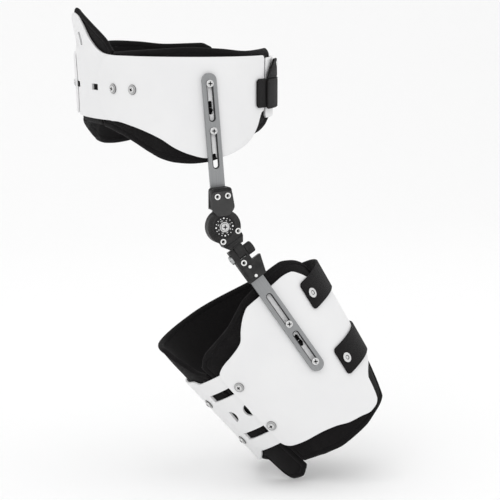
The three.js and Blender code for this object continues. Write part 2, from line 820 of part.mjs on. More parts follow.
// Belly closure: a hook pad on the right panel, the strap that lies on it, and a finger tab with a ring.
function addBellyClosure() {
  const low = bellyStrapLevel - bellyStrapWidth / 2;
  const high = bellyStrapLevel + bellyStrapWidth / 2;
  const round = { fromBottom: edgeRadius, fromTop: edgeRadius, toBottom: edgeRadius, toTop: edgeRadius };
  const hookPad = curvedWall({
    surface: bandPoint,
    from: bellyPadEnd,
    to: bellyPadHidden,
    bottom: () => low,
    top: () => high,
    inner: layerGap,
    outer: layerGap + webbing,
    corner: round,
  });
  addPiece(brace, "belly_hook_pad", hookPad, looks.webbing);

  const rise = layerGap + webbing;
  const face = (angle) => {
    const lift = smoothstep(angle, bellyPadHidden - strapFall.from, bellyPadHidden - strapFall.to);
    return layerGap + rise * lift;
  };
  const strap = curvedWall({
    surface: bandPoint,
    from: bellyStrapEnd,
    to: bellyStrapFar,
    bottom: () => low - bellyStrapBelow,
    top: () => high - bellyStrapShort,
    inner: face,
    outer: (angle) => face(angle) + webbing,
    corner: round,
  });
  addPiece(brace, "belly_strap", strap, looks.webbing);

  const tabLow = high + layerGap;
  const tab = curvedWall({
    surface: bandPoint,
    from: { bottom: tabBase.from, top: tabTip.from },
    to: { bottom: tabBase.to, top: tabTip.to },
    bottom: () => tabLow,
    top: () => tabLow + tabRise,
    inner: rise,
    outer: rise + webbing,
    step: tabStep,
    corner: { fromTop: ringRadius, toTop: ringRadius },
  });
  const ringAngle = (tabTip.from + tabTip.to) / 2;
  const ringHeight = tabLow + tabRise - 2 * ringRadius;
  const ringHole = boreCutter(bandPoint, ringAngle, ringHeight, ringRadius * ringTube + play);
  addPiece(brace, "belly_strap_tab", cutBy(tab, [ringHole]), looks.webbing);

  const normal = normalAt(bandPoint, ringAngle, ringHeight);
  const seat = bandPoint(ringAngle, ringHeight, 0).addScaledVector(normal, rise + webbing + seatGap);
  const ringProfile = [
    [ringRadius * 0.5, -webbing],
    [ringRadius * ringTube, -webbing],
    [ringRadius * ringTube, 0],
    [ringRadius, 0],
    [ringRadius * 0.8, ringRadius * 0.25],
    [ringRadius * 0.5, ringRadius * 0.15],
    [ringRadius * 0.5, -webbing],
  ];
  const ring = new THREE.LatheGeometry(ringProfile.map(([x, y]) => new THREE.Vector2(x, y)), turnedSides);
  addPiece(brace, "belly_strap_ring", seated(ring, seat, normal), looks.steel);
}

// Upper upright and the parts of the hinge that stay with it
function addUpperUpright() {
  const half = barWidth / 2;
  const shape = new THREE.Shape();
  const join = Math.acos(half / barEndRadius);
  shape.moveTo(half, Math.sin(join) * barEndRadius);
  shape.lineTo(half, upperReach - half);
  shape.absarc(0, upperReach - half, half, 0, Math.PI, false);
  shape.lineTo(-half, Math.sin(join) * barEndRadius);
  shape.absarc(0, 0, barEndRadius, Math.PI - join, 2 * Math.PI + join, false);
  slotsOf(upperReach).forEach((slot) => slotHole(shape, slot.near, slot.far));
  roundHole(shape, 0, 0, centreShank + play);
  addPiece(upperFrame, "upper_bar", slab(shape, -barThick / 2, barThick / 2), looks.upright);

  upperBarScrews().forEach((screw, i) => {
    const seat = barThick / 2 + seatGap;
    const depth = seat + screw.sheet + shell - play;
    const geometry = fastener({ ...screwHead, shank: slotWidth / 2 - play, depth });
    const point = new THREE.Vector3(0, -seat, screw.up);
    addPiece(upperFrame, `upper_bar_screw_${i + 1}`, seated(geometry, point, outward), looks.steel);
  });

  const inner = barThick / 2 + seatGap;
  const plateFace = inner + hingeDepth;
  const coverInner = plateFace + seatGap;
  const halfWidth = bracketWidth / 2;
  const shoulder = bracketShoulder / 2;
  const narrowed = (top) => [
    [shoulder, bracketBottom],
    [halfWidth, top - bracketChamfer],
    [halfWidth - bracketChamfer, top],
    [bracketChamfer - halfWidth, top],
    [-halfWidth, top - bracketChamfer],
    [-shoulder, bracketBottom],
  ];
  const tongue = [[-tongueTipWidth / 2, tongueTip], [tongueTipWidth / 2, tongueTip]];
  const bodyShape = outline(narrowed(bracketTop));
  const coverShape = outline([...narrowed(coverTop), ...tongue]);
  const eyeletDepth = hingeDepth / 2;
  const coverFace = coverInner + coverThick;
  const bores = [-1, 1].map((side) => {
    const radius = eyeletBarrel + play;
    const drill = new THREE.CylinderGeometry(radius, radius, 2 * (eyeletDepth + play), turnedSides);
    return drill.translate(side * bracketEyelets.spread, -coverFace, bracketEyelets.up);
  });
  const body = slab(bodyShape, inner, coverInner + weld);
  const bracket = joined([body, slab(coverShape, coverInner, coverFace)]);
  addPiece(upperFrame, "hinge_bracket", cutBy(bracket, bores), looks.hinge);
  [-1, 1].forEach((side, i) => {
    const point = new THREE.Vector3(side * bracketEyelets.spread, -coverFace - seatGap, bracketEyelets.up);
    const ring = seated(eyelet(eyeletDepth), point, outward);
    addPiece(upperFrame, `bracket_eyelet_${i + 1}`, ring, looks.eyelet);
  });

  const dialShape = new THREE.Shape().absarc(0, 0, dialRadius, 0, 2 * Math.PI, false);
  roundHole(dialShape, 0, 0, centreShank + play);
  const dialFace = plateFace - dialPocket + seatGap + dialThick;
  addPiece(upperFrame, "hinge_dial", slab(dialShape, dialFace - dialThick, dialFace), looks.dial);
  const screwSeat = dialFace + seatGap;
  const centre = fastener({ ...screwHead, shank: centreShank, depth: screwSeat + barThick / 2 });
  const point = new THREE.Vector3(0, -screwSeat, 0);
  addPiece(upperFrame, "hinge_centre_screw", seated(centre, point, outward), looks.steel);
}

// The hinge plate that flexes, with the lug of the abduction joint below it
function addHingePlate() {
  const inner = barThick / 2 + seatGap;
  const face = inner + hingeDepth;
  const half = plateWidth / 2;
  const shape = new THREE.Shape();
  const join = Math.acos(half / hingeRadius);
  const neck = lugWidth;
  shape.moveTo(half, Math.sin(join) * hingeRadius);
  shape.absarc(0, 0, hingeRadius, join, Math.PI - join, false);
  shape.lineTo(-half, -plateReach * plateShoulder);
  shape.lineTo(-neck, -plateReach);
  shape.lineTo(neck, -plateReach);
  shape.lineTo(half, -plateReach * plateShoulder);
  roundHole(shape, 0, 0, centreShank + play);
  const depth = hingeDepth / 2;
  const bores = [-1, 1].map((side) => {
    const radius = eyeletBarrel + play;
    const drill = new THREE.CylinderGeometry(radius, radius, 2 * (depth + play), turnedSides);
    return drill.translate(side * plateEyelets.spread, -face, -plateEyelets.down);
  });
  const lug = new THREE.CylinderGeometry(lugRadius, lugRadius, lugWidth, lugSides);
  lug.rotateZ(Math.PI / 2).translate(0, -pivotOut, -pivotDrop);
  const stemHeight = pivotDrop - plateReach + weld;
  const stem = new THREE.BoxGeometry(lugWidth, 2 * lugRadius, stemHeight);
  stem.translate(0, -pivotOut, -pivotDrop + stemHeight / 2);
  const pinHole = new THREE.CylinderGeometry(pinRadius + play, pinRadius + play, 2 * plateWidth, turnedSides);
  pinHole.rotateZ(Math.PI / 2).translate(0, -pivotOut, -pivotDrop);
  const pocketRadius = dialRadius + play;
  const pocket = new THREE.CylinderGeometry(pocketRadius, pocketRadius, 2 * dialPocket, pocketSides);
  pocket.translate(0, -face, 0);
  const plate = cutBy(joined([slab(shape, inner, face), stem, lug]), [...bores, pinHole, pocket]);
  addPiece(plateFrame, "hinge_plate", plate, looks.hinge);
  [-1, 1].forEach((side, i) => {
    const point = new THREE.Vector3(side * plateEyelets.spread, -face - seatGap, -plateEyelets.down);
    addPiece(plateFrame, `plate_eyelet_${i + 1}`, seated(eyelet(depth), point, outward), looks.eyelet);
  });
}

// The block that swings out, its pin and knob, and the lower upright fixed behind it
function addLowerUpright() {
  const half = blockWidth / 2;
  const inner = barThick / 2 + seatGap;
  const face = inner + blockThick;
  const knobSide = lugWidth / 2 + play + cheek;
  const pocket = lugRadius + lugClearance;
  const shape = outline([
    [-half, blockTop],
    [-lugWidth / 2 - play, blockTop],
    [-lugWidth / 2 - play, -pocket],
    [lugWidth / 2 + play, -pocket],
    [lugWidth / 2 + play, blockTop],
    [knobSide, blockTop],
    [knobSide, -knobRadius - play],
    [half, -knobRadius - play - knobRecess],
    [half * blockTaper, -blockReach],
    [-half * blockTaper, -blockReach],
  ]);
  roundHole(shape, blockEyelet.forward, -blockEyelet.down, eyeletBarrel + play);
  const pinHole = new THREE.CylinderGeometry(pinRadius + play, pinRadius + play, 2 * blockWidth, turnedSides);
  pinHole.rotateZ(Math.PI / 2).translate(0, -pivotOut, 0);
  addPiece(lowerFrame, "lower_block", cutBy(slab(shape, inner, face), [pinHole]), looks.hinge);

  const eyeletPoint = new THREE.Vector3(blockEyelet.forward, -face - seatGap, -blockEyelet.down);
  addPiece(lowerFrame, "block_eyelet", seated(eyelet(blockThick / 2), eyeletPoint, outward), looks.eyelet);
  studDown.forEach((down, i) => {
    const point = new THREE.Vector3(studForward, -face - seatGap - stud.depth, -down);
    addPiece(lowerFrame, `block_stud_${i + 1}`, seated(fastener(stud), point, outward), looks.eyelet);
  });

  const pinEnd = half + seatGap;
  const pin = new THREE.LatheGeometry(
    [
      [0, -pinEnd - pinHead.thick],
      [pinHead.neck, -pinEnd - pinHead.thick],
      [pinHead.radius, -pinEnd - pinHead.edge],
      [pinHead.radius, -pinEnd],
      [pinRadius, -pinEnd],
      [pinRadius, knobSide + seatGap],
      [0, knobSide + seatGap],
    ].map(([x, y]) => new THREE.Vector2(x, y)),
    turnedSides,
  );
  const pivotPoint = new THREE.Vector3(0, -pivotOut, 0);
  const forward = new THREE.Vector3(1, 0, 0);
  addPiece(lowerFrame, "abduction_pin", seated(pin, pivotPoint, forward), looks.steel);
  const knobStart = knobSide + 2 * seatGap;
  const knob = new THREE.LatheGeometry(
    [
      [0, knobStart],
      [knobRadius, knobStart],
      [knobRadius, knobStart + knobLength - knobEdge],
      [knobRadius - knobEdge, knobStart + knobLength],
      [0, knobStart + knobLength],
    ].map(([x, y]) => new THREE.Vector2(x, y)),
    turnedSides,
  );
  addPiece(lowerFrame, "abduction_knob", seated(knob, pivotPoint, forward), looks.hinge);

  const barHalf = barWidth / 2;
  const barStart = -knobRadius - knobGap;
  const barShape = new THREE.Shape();
  barShape.moveTo(-barHalf, barStart);
  barShape.lineTo(-barHalf, barHalf - lowerReach);
  barShape.absarc(0, barHalf - lowerReach, barHalf, Math.PI, 2 * Math.PI, false);
  barShape.lineTo(barHalf, barStart);
  slotsOf(lowerReach).forEach((slot) => slotHole(barShape, -slot.far, -slot.near));
  addPiece(lowerFrame, "lower_bar", slab(barShape, -barThick / 2, barThick / 2), looks.upright);
}

// Thigh cuff
function addCuff() {
  const screws = cuffScrewLevels.flatMap((levels, i) => [
    { side: "right", on: 0, layers: 2, number: i + 1 },
    { side: "left", on: underLayer, layers: 1, number: i + 1 },
  ].map(({ side, on, layers, number }) => {
    const name = `${side}_cuff_screw_${number}`;
    return { name, angle: cuffScrewAngles[side], height: -levels[side], layers, on };
  }));
  const barScrews = slotsOf(lowerReach).map((slot) => slot.screw);
  const barBores = barScrews.map((down) => {
    const radius = slotWidth / 2;
    return new THREE.CylinderGeometry(radius, radius, barDrillLength, turnedSides).translate(0, 0, -down);
  });
  const screwBores = screws.map((screw) => {
    return boreCutter(cuffPoint, screw.angle, screw.height, panelShank + play);
  });
  const rivetBores = thighStraps.map((strap) => {
    return boreCutter(cuffPoint, strap.rivet, -strap.level, panelShank + play);
  });

  const lateral = curvedWall({
    surface: cuffPoint,
    from: lateralRear,
    to: lateralFront,
    bottom: trimline(cuffBottomRows, -cuffBackBottom, -cuffBottom),
    top: trimline(cuffTopRows, -cuffTop, -cuffBackTop),
    inner: -shell,
    outer: 0,
    corner: { fromBottom: edgeRadius, fromTop: edgeRadius, toBottom: edgeRadius, toTop: edgeRadius },
  });
  addPiece(
    lowerFrame,
    "thigh_lateral_panel",
    cutBy(lateral, [...barBores, ...screwBores, ...rivetBores]),
    looks.shell,
  );

  const posterior = curvedWall({
    surface: cuffPoint,
    from: posteriorFar,
    to: posteriorUnder,
    bottom: trimline(posteriorBottomRows, -cuffBackBottom, -cuffBottom),
    top: trimline(posteriorTopRows, -cuffBackTop, -cuffFlap),
    inner: underLayer - shell,
    outer: underLayer,
    corner: { fromBottom: noseRadius / 2, fromTop: noseRadius / 2, toBottom: edgeRadius, toTop: edgeRadius },
  });
  const slots = cuffSlotLevels.map((level) => {
    const half = cuffSlot.height / 2;
    return slotCutter(cuffPoint, cuffSlot.rear, cuffSlot.front, -level - half, -level + half);
  });
  const vents = [
    { angle: vent.left, turn: 0 },
    { angle: vent.right, turn: Math.PI },
  ].map(({ angle, turn }) => {
    const half = new THREE.Shape().absarc(0, 0, vent.radius, -Math.PI / 2, Math.PI / 2, false);
    const steps = { depth: drillLength, bevelEnabled: false, curveSegments: arcSegments };
    const drill = new THREE.ExtrudeGeometry(half, steps);
    drill.translate(0, 0, -drillLength / 2).rotateZ(turn).rotateX(Math.PI / 2);
    const normal = normalAt(cuffPoint, angle, -vent.level);
    drill.rotateZ(Math.atan2(normal.x, -normal.y));
    const centre = cuffPoint(angle, -vent.level, underLayer);
    return drill.translate(centre.x, centre.y, centre.z);
  });
  addPiece(
    lowerFrame,
    "thigh_posterior_panel",
    cutBy(posterior, [...slots, ...vents, ...screwBores]),
    looks.shell,
  );

  const stepped = linerFace(posteriorUnder);
  const lateralLiner = curvedWall({
    surface: cuffPoint,
    from: { bottom: cuffSeam.bottom - seamGap, top: cuffSeam.top - seamGap },
    to: lateralFront + linerShort,
    bottom: trimline(lateralLinerBottomRows, -cuffBackBottom, -cuffLinerBottom),
    top: trimline(lateralLinerTopRows, -cuffLinerTop, -cuffBackTop),
    inner: (angle) => stepped(angle) - pad,
    outer: stepped,
    rows: 2,
    rim: pad / 2,
    corner: { fromBottom: edgeRadius, toBottom: edgeRadius, toTop: edgeRadius },
  });
  addPiece(lowerFrame, "thigh_lateral_liner", lateralLiner, looks.foam);

  const posteriorLiner = curvedWall({
    surface: cuffPoint,
    from: posteriorFar - linerShort,
    to: { bottom: cuffSeam.bottom, top: cuffSeam.top },
    bottom: trimline(posteriorLinerBottomRows, -cuffBackBottom, -cuffLinerBottom),
    top: trimline(posteriorLinerTopRows, -cuffBackTop, -cuffFlap),
    inner: innerLayer - pad,
    outer: innerLayer,
    rows: 2,
    rim: pad / 2,
    corner: { fromBottom: noseRadius / 2, fromTop: noseRadius / 2, toBottom: edgeRadius },
  });
  addPiece(lowerFrame, "thigh_posterior_liner", posteriorLiner, looks.foam);

  screws.forEach((screw) => {
    const depth = screw.layers * shell + (screw.layers - 1) * layerGap;
    const geometry = fastener({ ...panelScrew, shank: panelShank, depth });
    const normal = normalAt(cuffPoint, screw.angle, screw.height);
    const seat = cuffPoint(screw.angle, screw.height, 0).addScaledVector(normal, seatGap + screw.on);
    addPiece(lowerFrame, screw.name, seated(geometry, seat, normal), looks.steel);
  });
  barScrews.forEach((down, i) => {
    const seat = barThick / 2 + seatGap;
    const depth = seat + barThick / 2 + layerGap + shell - play;
    const geometry = fastener({ ...screwHead, shank: slotWidth / 2 - play, depth });
    const point = new THREE.Vector3(0, -seat, -down);
    addPiece(lowerFrame, `lower_bar_screw_${i + 1}`, seated(geometry, point, outward), looks.steel);
  });

  // A strap lies on the lateral panel, crosses the open front and comes down on the posterior panel.
  const landing = fullTurn - posteriorFar - strapFall.to;
  const drop = (angle) => underLayer * smoothstep(-angle, strapFall.to - lateralFront, landing);
  thighStraps.forEach((strap) => {
    const half = thighStrapWidth / 2;
    const geometry = curvedWall({
      surface: cuffPoint,
      from: strap.end,
      to: thighStrapFar,
      bottom: () => -strap.level - half,
      top: () => -strap.level + half,
      inner: (angle) => layerGap + drop(angle),
      outer: (angle) => layerGap + webbing + drop(angle),
      corner: { fromBottom: edgeRadius, fromTop: edgeRadius, toBottom: edgeRadius, toTop: edgeRadius },
    });
    const bore = boreCutter(cuffPoint, strap.rivet, -strap.level, panelShank + play);
    addPiece(lowerFrame, `${strap.name}_thigh_strap`, cutBy(geometry, [bore]), looks.webbing);

    const normal = normalAt(cuffPoint, strap.rivet, -strap.level);
    const lift = layerGap + webbing + seatGap;
    const seat = cuffPoint(strap.rivet, -strap.level, 0).addScaledVector(normal, lift);
    const stud = fastener({ ...rivet, shank: panelShank, depth: lift + shell - play });
    addPiece(lowerFrame, `${strap.name}_strap_rivet`, seated(stud, seat, normal), looks.steel);
  });
}

addBand();
addBellyClosure();
addUpperUpright();
addHingePlate();
addLowerUpright();
addCuff();

export default brace;
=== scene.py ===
import math

import bpy
from mathutils import Matrix, Vector


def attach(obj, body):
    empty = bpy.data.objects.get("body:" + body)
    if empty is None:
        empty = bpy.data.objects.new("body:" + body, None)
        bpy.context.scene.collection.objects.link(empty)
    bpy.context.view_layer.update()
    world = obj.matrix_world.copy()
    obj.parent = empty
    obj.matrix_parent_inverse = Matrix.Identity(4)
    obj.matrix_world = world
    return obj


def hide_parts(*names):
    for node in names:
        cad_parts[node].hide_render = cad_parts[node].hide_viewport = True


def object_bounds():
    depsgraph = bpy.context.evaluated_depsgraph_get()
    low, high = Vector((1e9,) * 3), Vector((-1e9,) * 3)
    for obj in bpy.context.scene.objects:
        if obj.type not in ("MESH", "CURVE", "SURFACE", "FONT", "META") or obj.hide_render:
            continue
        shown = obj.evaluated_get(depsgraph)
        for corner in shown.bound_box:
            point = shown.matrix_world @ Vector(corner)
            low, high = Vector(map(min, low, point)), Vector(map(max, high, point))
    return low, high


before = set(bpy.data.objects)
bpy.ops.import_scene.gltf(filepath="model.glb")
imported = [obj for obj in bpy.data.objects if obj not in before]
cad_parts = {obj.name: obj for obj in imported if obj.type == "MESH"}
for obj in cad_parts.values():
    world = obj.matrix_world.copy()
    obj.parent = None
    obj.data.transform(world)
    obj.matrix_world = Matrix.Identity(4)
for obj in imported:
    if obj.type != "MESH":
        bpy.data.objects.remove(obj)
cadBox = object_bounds()
bpy.ops.object.select_all(action="DESELECT")
print("frame loaded")

mm = 0.001

# the two forms that the sheets are moulded on, and the places of the hinge parts, all in mm and degrees
band = {"width": 344, "depth": 228, "lean": 0.06, "leanFrom": -30, "flare": 0.22, "flareFrom": 57}
cuff = {"datum": 57.5, "halfWidth": 101, "halfDepth": 113, "widthTaper": 0.1, "depthTaper": 0.117,
        "behind": 19.5, "standoff": 2.0}
hinge = {"forward": 1, "out": 174, "drop": 148.5, "upperTilt": 4.65, "plateTilt": 33.5,
         "pivotDrop": 40, "pivotOut": 7, "abduction": 10}
layer = {"gap": 0.4, "shell": 3, "pad": 6.5, "webbing": 2.5, "seat": 0.3}
under = -(layer["shell"] + layer["gap"])
inmost = 2 * under


def turned(angle, axis):
    return Matrix.Rotation(math.radians(angle), 4, axis)


hingeSpot = Matrix.Translation((hinge["forward"], -hinge["out"], -hinge["drop"]))
upperPlace = hingeSpot @ turned(-hinge["upperTilt"], "Y")
platePlace = hingeSpot @ turned(-hinge["plateTilt"], "Y")
lowerPlace = (platePlace @ Matrix.Translation((0, -hinge["pivotOut"], -hinge["pivotDrop"]))
              @ turned(-hinge["abduction"], "X") @ Matrix.Translation((0, hinge["pivotOut"], 0)))
outward = Vector((0, -1, 0))


def onBand(angle, height, offset):
    turn = math.radians(angle)
    lean = band["lean"] * (height - band["leanFrom"]) + band["flare"] * max(0, height - band["flareFrom"])
    lean = lean if math.cos(turn) < 0 else 0
    halfDepth = band["depth"] / 2 + offset + lean
    halfWidth = band["width"] / 2 + offset
    reach = 1 / math.hypot(math.cos(turn) / halfDepth, math.sin(turn) / halfWidth)
    return Vector((reach * math.cos(turn), -reach * math.sin(turn), height))


def onCuffFlat(angle, height, offset):
    turn = math.radians(angle)
    below = -height - cuff["datum"]
    halfWidth = cuff["halfWidth"] - cuff["widthTaper"] * below
    halfDepth = cuff["halfDepth"] - cuff["depthTaper"] * below
    return Vector(((halfDepth + offset) * math.cos(turn) - cuff["behind"],
                   cuff["standoff"] + halfWidth - (halfWidth + offset) * math.sin(turn), height))


def onCuff(angle, height, offset):
    return lowerPlace @ onCuffFlat(angle, height, offset)


def normalOn(form, angle, height):
    along = form(angle - 0.5, height, 0) - form(angle + 0.5, height, 0)
    up = form(angle, height + 0.5, 0) - form(angle, height - 0.5, 0)
    return along.cross(up).normalized()


# a smooth trimline through (angle, share) rows, share 0 and 1 being two heights
def trimline(rows, zero, one):
    rows = sorted(rows)
    steps = [(b[1] - a[1]) / (b[0] - a[0]) for a, b in zip(rows, rows[1:])]
    tangents = [0.0] * len(rows)
    for i in range(1, len(rows) - 1):
        if steps[i - 1] * steps[i] > 0:
            tangents[i] = 2 * steps[i - 1] * steps[i] / (steps[i - 1] + steps[i])

    def height(angle):
        if angle <= rows[0][0]:
            share = rows[0][1]
        elif angle >= rows[-1][0]:
            share = rows[-1][1]
        else:
            i = max(k for k, row in enumerate(rows) if row[0] <= angle)
            span = rows[i + 1][0] - rows[i][0]
            t = (angle - rows[i][0]) / span
            share = (rows[i][1] * (2 * t ** 3 - 3 * t ** 2 + 1) + rows[i + 1][1] * (3 * t ** 2 - 2 * t ** 3)
                     + span * (tangents[i] * (t ** 3 - 2 * t ** 2 + t) + tangents[i + 1] * (t ** 3 - t ** 2)))
        return zero + (one - zero) * share

    return height


def mixed(a, b, t):
    return a + (b - a) * t


def smoothStep(value, low, high):
    t = min(1, max(0, (value - low) / (high - low)))
    return t * t * (3 - 2 * t)


# selecting and shaping, as at the screen
def only(piece):
    bpy.ops.object.select_all(action="DESELECT")
    piece.select_set(True)
    bpy.context.view_layer.objects.active = piece
    return piece


def pickFaces(piece, wanted):
    only(piece)
    for face in piece.data.polygons:
        face.select = bool(wanted(face.center, face.normal))
    for item in (*piece.data.edges, *piece.data.vertices):
        item.select = False
    for face in piece.data.polygons:
        if face.select:
            for index in face.vertices:
                piece.data.vertices[index].select = True
    bpy.ops.object.mode_set(mode="EDIT")
    bpy.ops.mesh.select_mode(type="FACE")


def pickEdges(piece, wanted):
    only(piece)
    for item in (*piece.data.polygons, *piece.data.vertices):
        item.select = False
    spots = piece.data.vertices
    for edge in piece.data.edges:
        edge.select = bool(wanted(spots[edge.vertices[0]].co, spots[edge.vertices[1]].co))
    bpy.ops.object.mode_set(mode="EDIT")
    bpy.ops.mesh.select_mode(type="EDGE")


def editAll(piece):
    only(piece)
    bpy.ops.object.mode_set(mode="EDIT")
    bpy.ops.mesh.select_all(action="SELECT")


def editDone():
    bpy.ops.object.mode_set(mode="OBJECT")


def applied(piece, kind, **settings):
    only(piece)
    modifier = piece.modifiers.new(kind.lower(), kind)
    for key, value in settings.items():
        setattr(modifier, key, value)
    bpy.ops.object.modifier_apply(modifier=modifier.name)
    return piece


def cutWith(piece, cutters, operation="DIFFERENCE"):
    for cutter in cutters:
        applied(piece, "BOOLEAN", operation=operation, object=cutter, solver="EXACT")
        bpy.data.objects.remove(cutter)
    return piece


def softEdges(piece, width=0.4, segments=2, angle=40):
    return applied(piece, "BEVEL", width=width * mm, segments=segments, limit_method="ANGLE",
                   angle_limit=math.radians(angle), use_clamp_overlap=True)


def smooth(piece, angle=38):
    only(piece)
    bpy.ops.object.shade_smooth_by_angle(angle=math.radians(angle))
    return piece


def block(size, at=(0, 0, 0)):
    bpy.ops.mesh.primitive_cube_add(size=1, location=Vector(at) * mm, scale=Vector(size) * mm)
    bpy.ops.object.transform_apply(location=True, rotation=True, scale=True)
    return bpy.context.object


def disc(radius, length, at=(0, 0, 0), along="Y", sides=48):
    turn = {"X": (0, math.pi / 2, 0), "Y": (math.pi / 2, 0, 0), "Z": (0, 0, 0)}[along]
    bpy.ops.mesh.primitive_cylinder_add(vertices=sides, radius=radius * mm, depth=length * mm,
                                        location=Vector(at) * mm, rotation=turn)
    bpy.ops.object.transform_apply(location=True, rotation=True, scale=True)
    return bpy.context.object


def placed(piece, place):
    only(piece)
    shift = place.copy()
    shift.translation = shift.translation * mm
    piece.matrix_world = shift
    bpy.ops.object.transform_apply(location=True, rotation=True, scale=True)
    return piece


# name, finish, body and the solids that the piece stands for
def done(piece, name, finish, body, *stands, angle=38):
    piece.name = name
    piece.data.name = name
    piece.data.materials.clear()
    piece.data.materials.append(finishes[finish])
    smooth(piece, angle)
    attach(piece, body)
    if stands:
        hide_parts(*stands)
    return piece


# faces of a finished piece that take a second finish
def tinted(piece, finish, faces):
    piece.data.materials.append(finishes[finish])
    for index in faces:
        piece.data.polygons[index].material_index = 1


def facesWhere(piece, wanted):
    return [face.index for face in piece.data.polygons if wanted(face.center / mm, face.normal)]


def copyOf(piece):
    twin = piece.copy()
    twin.data = piece.data.copy()
    bpy.context.scene.collection.objects.link(twin)
    return twin


# seats a piece whose axis is +Z and whose seat is at 0
def seatedAt(piece, point, direction):
    turn = Vector((0, 0, 1)).rotation_difference(direction).to_matrix().to_4x4()
    return placed(piece, Matrix.Translation(point) @ turn)


# the same on the outer side of a hinge part, with the seat given in that part's frame
def seatedOn(piece, place, seat):
    return seatedAt(piece, place @ Vector(seat), place.to_3x3() @ outward)


# rounds the rim of the end that faces this way
def roundEnd(piece, facing, offset, segments):
    pickFaces(piece, lambda spot, normal: normal.dot(Vector(facing)) > 0.9)
    bpy.ops.mesh.bevel(offset=offset * mm, segments=segments, affect="EDGES")
    editDone()


# narrows the end that faces this way to a share of its width, and moves it along x
def narrowEnd(piece, facing, share, shift=0):
    pickFaces(piece, lambda spot, normal: normal.dot(Vector(facing)) > 0.9)
    bpy.ops.transform.resize(value=(share, 1, 1))
    if shift:
        bpy.ops.transform.translate(value=(shift * mm, 0, 0))
    editDone()


# finishes
finishes = {}


def newFinish(name, color, roughness, metallic=0.0, **sockets):
    finish = bpy.data.materials.new(name)
    finish.use_nodes = True
    shader = finish.node_tree.nodes["Principled BSDF"]
    shader.inputs["Base Color"].default_value = (*color, 1)
    shader.inputs["Roughness"].default_value = roughness
    shader.inputs["Metallic"].default_value = metallic
    for key, value in sockets.items():
        shader.inputs[key.replace("_", " ")].default_value = value
    finishes[name] = finish
    return finish.node_tree, shader


def addNode(tree, kind, links=(), **settings):
    node = tree.nodes.new(kind)
    for key, value in settings.items():
        if key in node.inputs.keys() or key.replace("_", " ") in node.inputs.keys():
            node.inputs[key if key in node.inputs.keys() else key.replace("_", " ")].default_value = value
        else:
            setattr(node, key, value)
    for source, target in links:
        tree.links.new(source, node.inputs[target])
    return node


def ramp(tree, source, stops):
    node = addNode(tree, "ShaderNodeValToRGB", [(source, "Fac")])
    elements = node.color_ramp.elements
    for i, (position, color) in enumerate(stops):
        element = elements[i] if i < 2 else elements.new(position)
        element.position = position
        element.color = (*color, 1)
    return node.outputs["Color"]


def spread(tree, source, low, high):
    node = addNode(tree, "ShaderNodeMapRange", [(source, "Value")])
    node.inputs["To Min"].default_value = low
    node.inputs["To Max"].default_value = high
    return node.outputs["Result"]


def bumped(tree, shader, heights):
    previous = None
    for source, strength, distance in heights:
        node = addNode(tree, "ShaderNodeBump", [(source, "Height")], Strength=strength, Distance=distance)
        if previous:
            tree.links.new(previous.outputs["Normal"], node.inputs["Normal"])
        previous = node
    tree.links.new(previous.outputs["Normal"], shader.inputs["Normal"])


def objectSpot(tree, scale=(1, 1, 1), rotation=(0, 0, 0)):
    spot = addNode(tree, "ShaderNodeTexCoord")
    mapping = addNode(tree, "ShaderNodeMapping", [(spot.outputs["Object"], "Vector")])
    mapping.inputs["Scale"].default_value = scale
    mapping.inputs["Rotation"].default_value = rotation
    return mapping.outputs["Vector"]


def flatSpot(tree, scale=(1, 1, 1)):
    spot = addNode(tree, "ShaderNodeUVMap", uv_map="flat")
    mapping = addNode(tree, "ShaderNodeMapping", [(spot.outputs["UV"], "Vector")])
    mapping.inputs["Scale"].default_value = scale
    return mapping.outputs["Vector"]


def noise(tree, vector, scale, detail=4, roughness=0.55):
    node = addNode(tree, "ShaderNodeTexNoise", [(vector, "Vector")], Scale=scale, Detail=detail,
                   Roughness=roughness)
    return node.outputs["Fac"]


def coloured(tree, shader, source, stops):
    tree.links.new(ramp(tree, source, stops), shader.inputs["Base Color"])


def roughened(tree, shader, source, low, high):
    tree.links.new(spread(tree, source, low, high), shader.inputs["Roughness"])


# one colour whose polish varies a little
def plainFinish(name, color, polish, metallic, grain, low, high, **sockets):
    tree, shader = newFinish(name, color, polish, metallic, **sockets)
    roughened(tree, shader, noise(tree, objectSpot(tree), *grain), low, high)


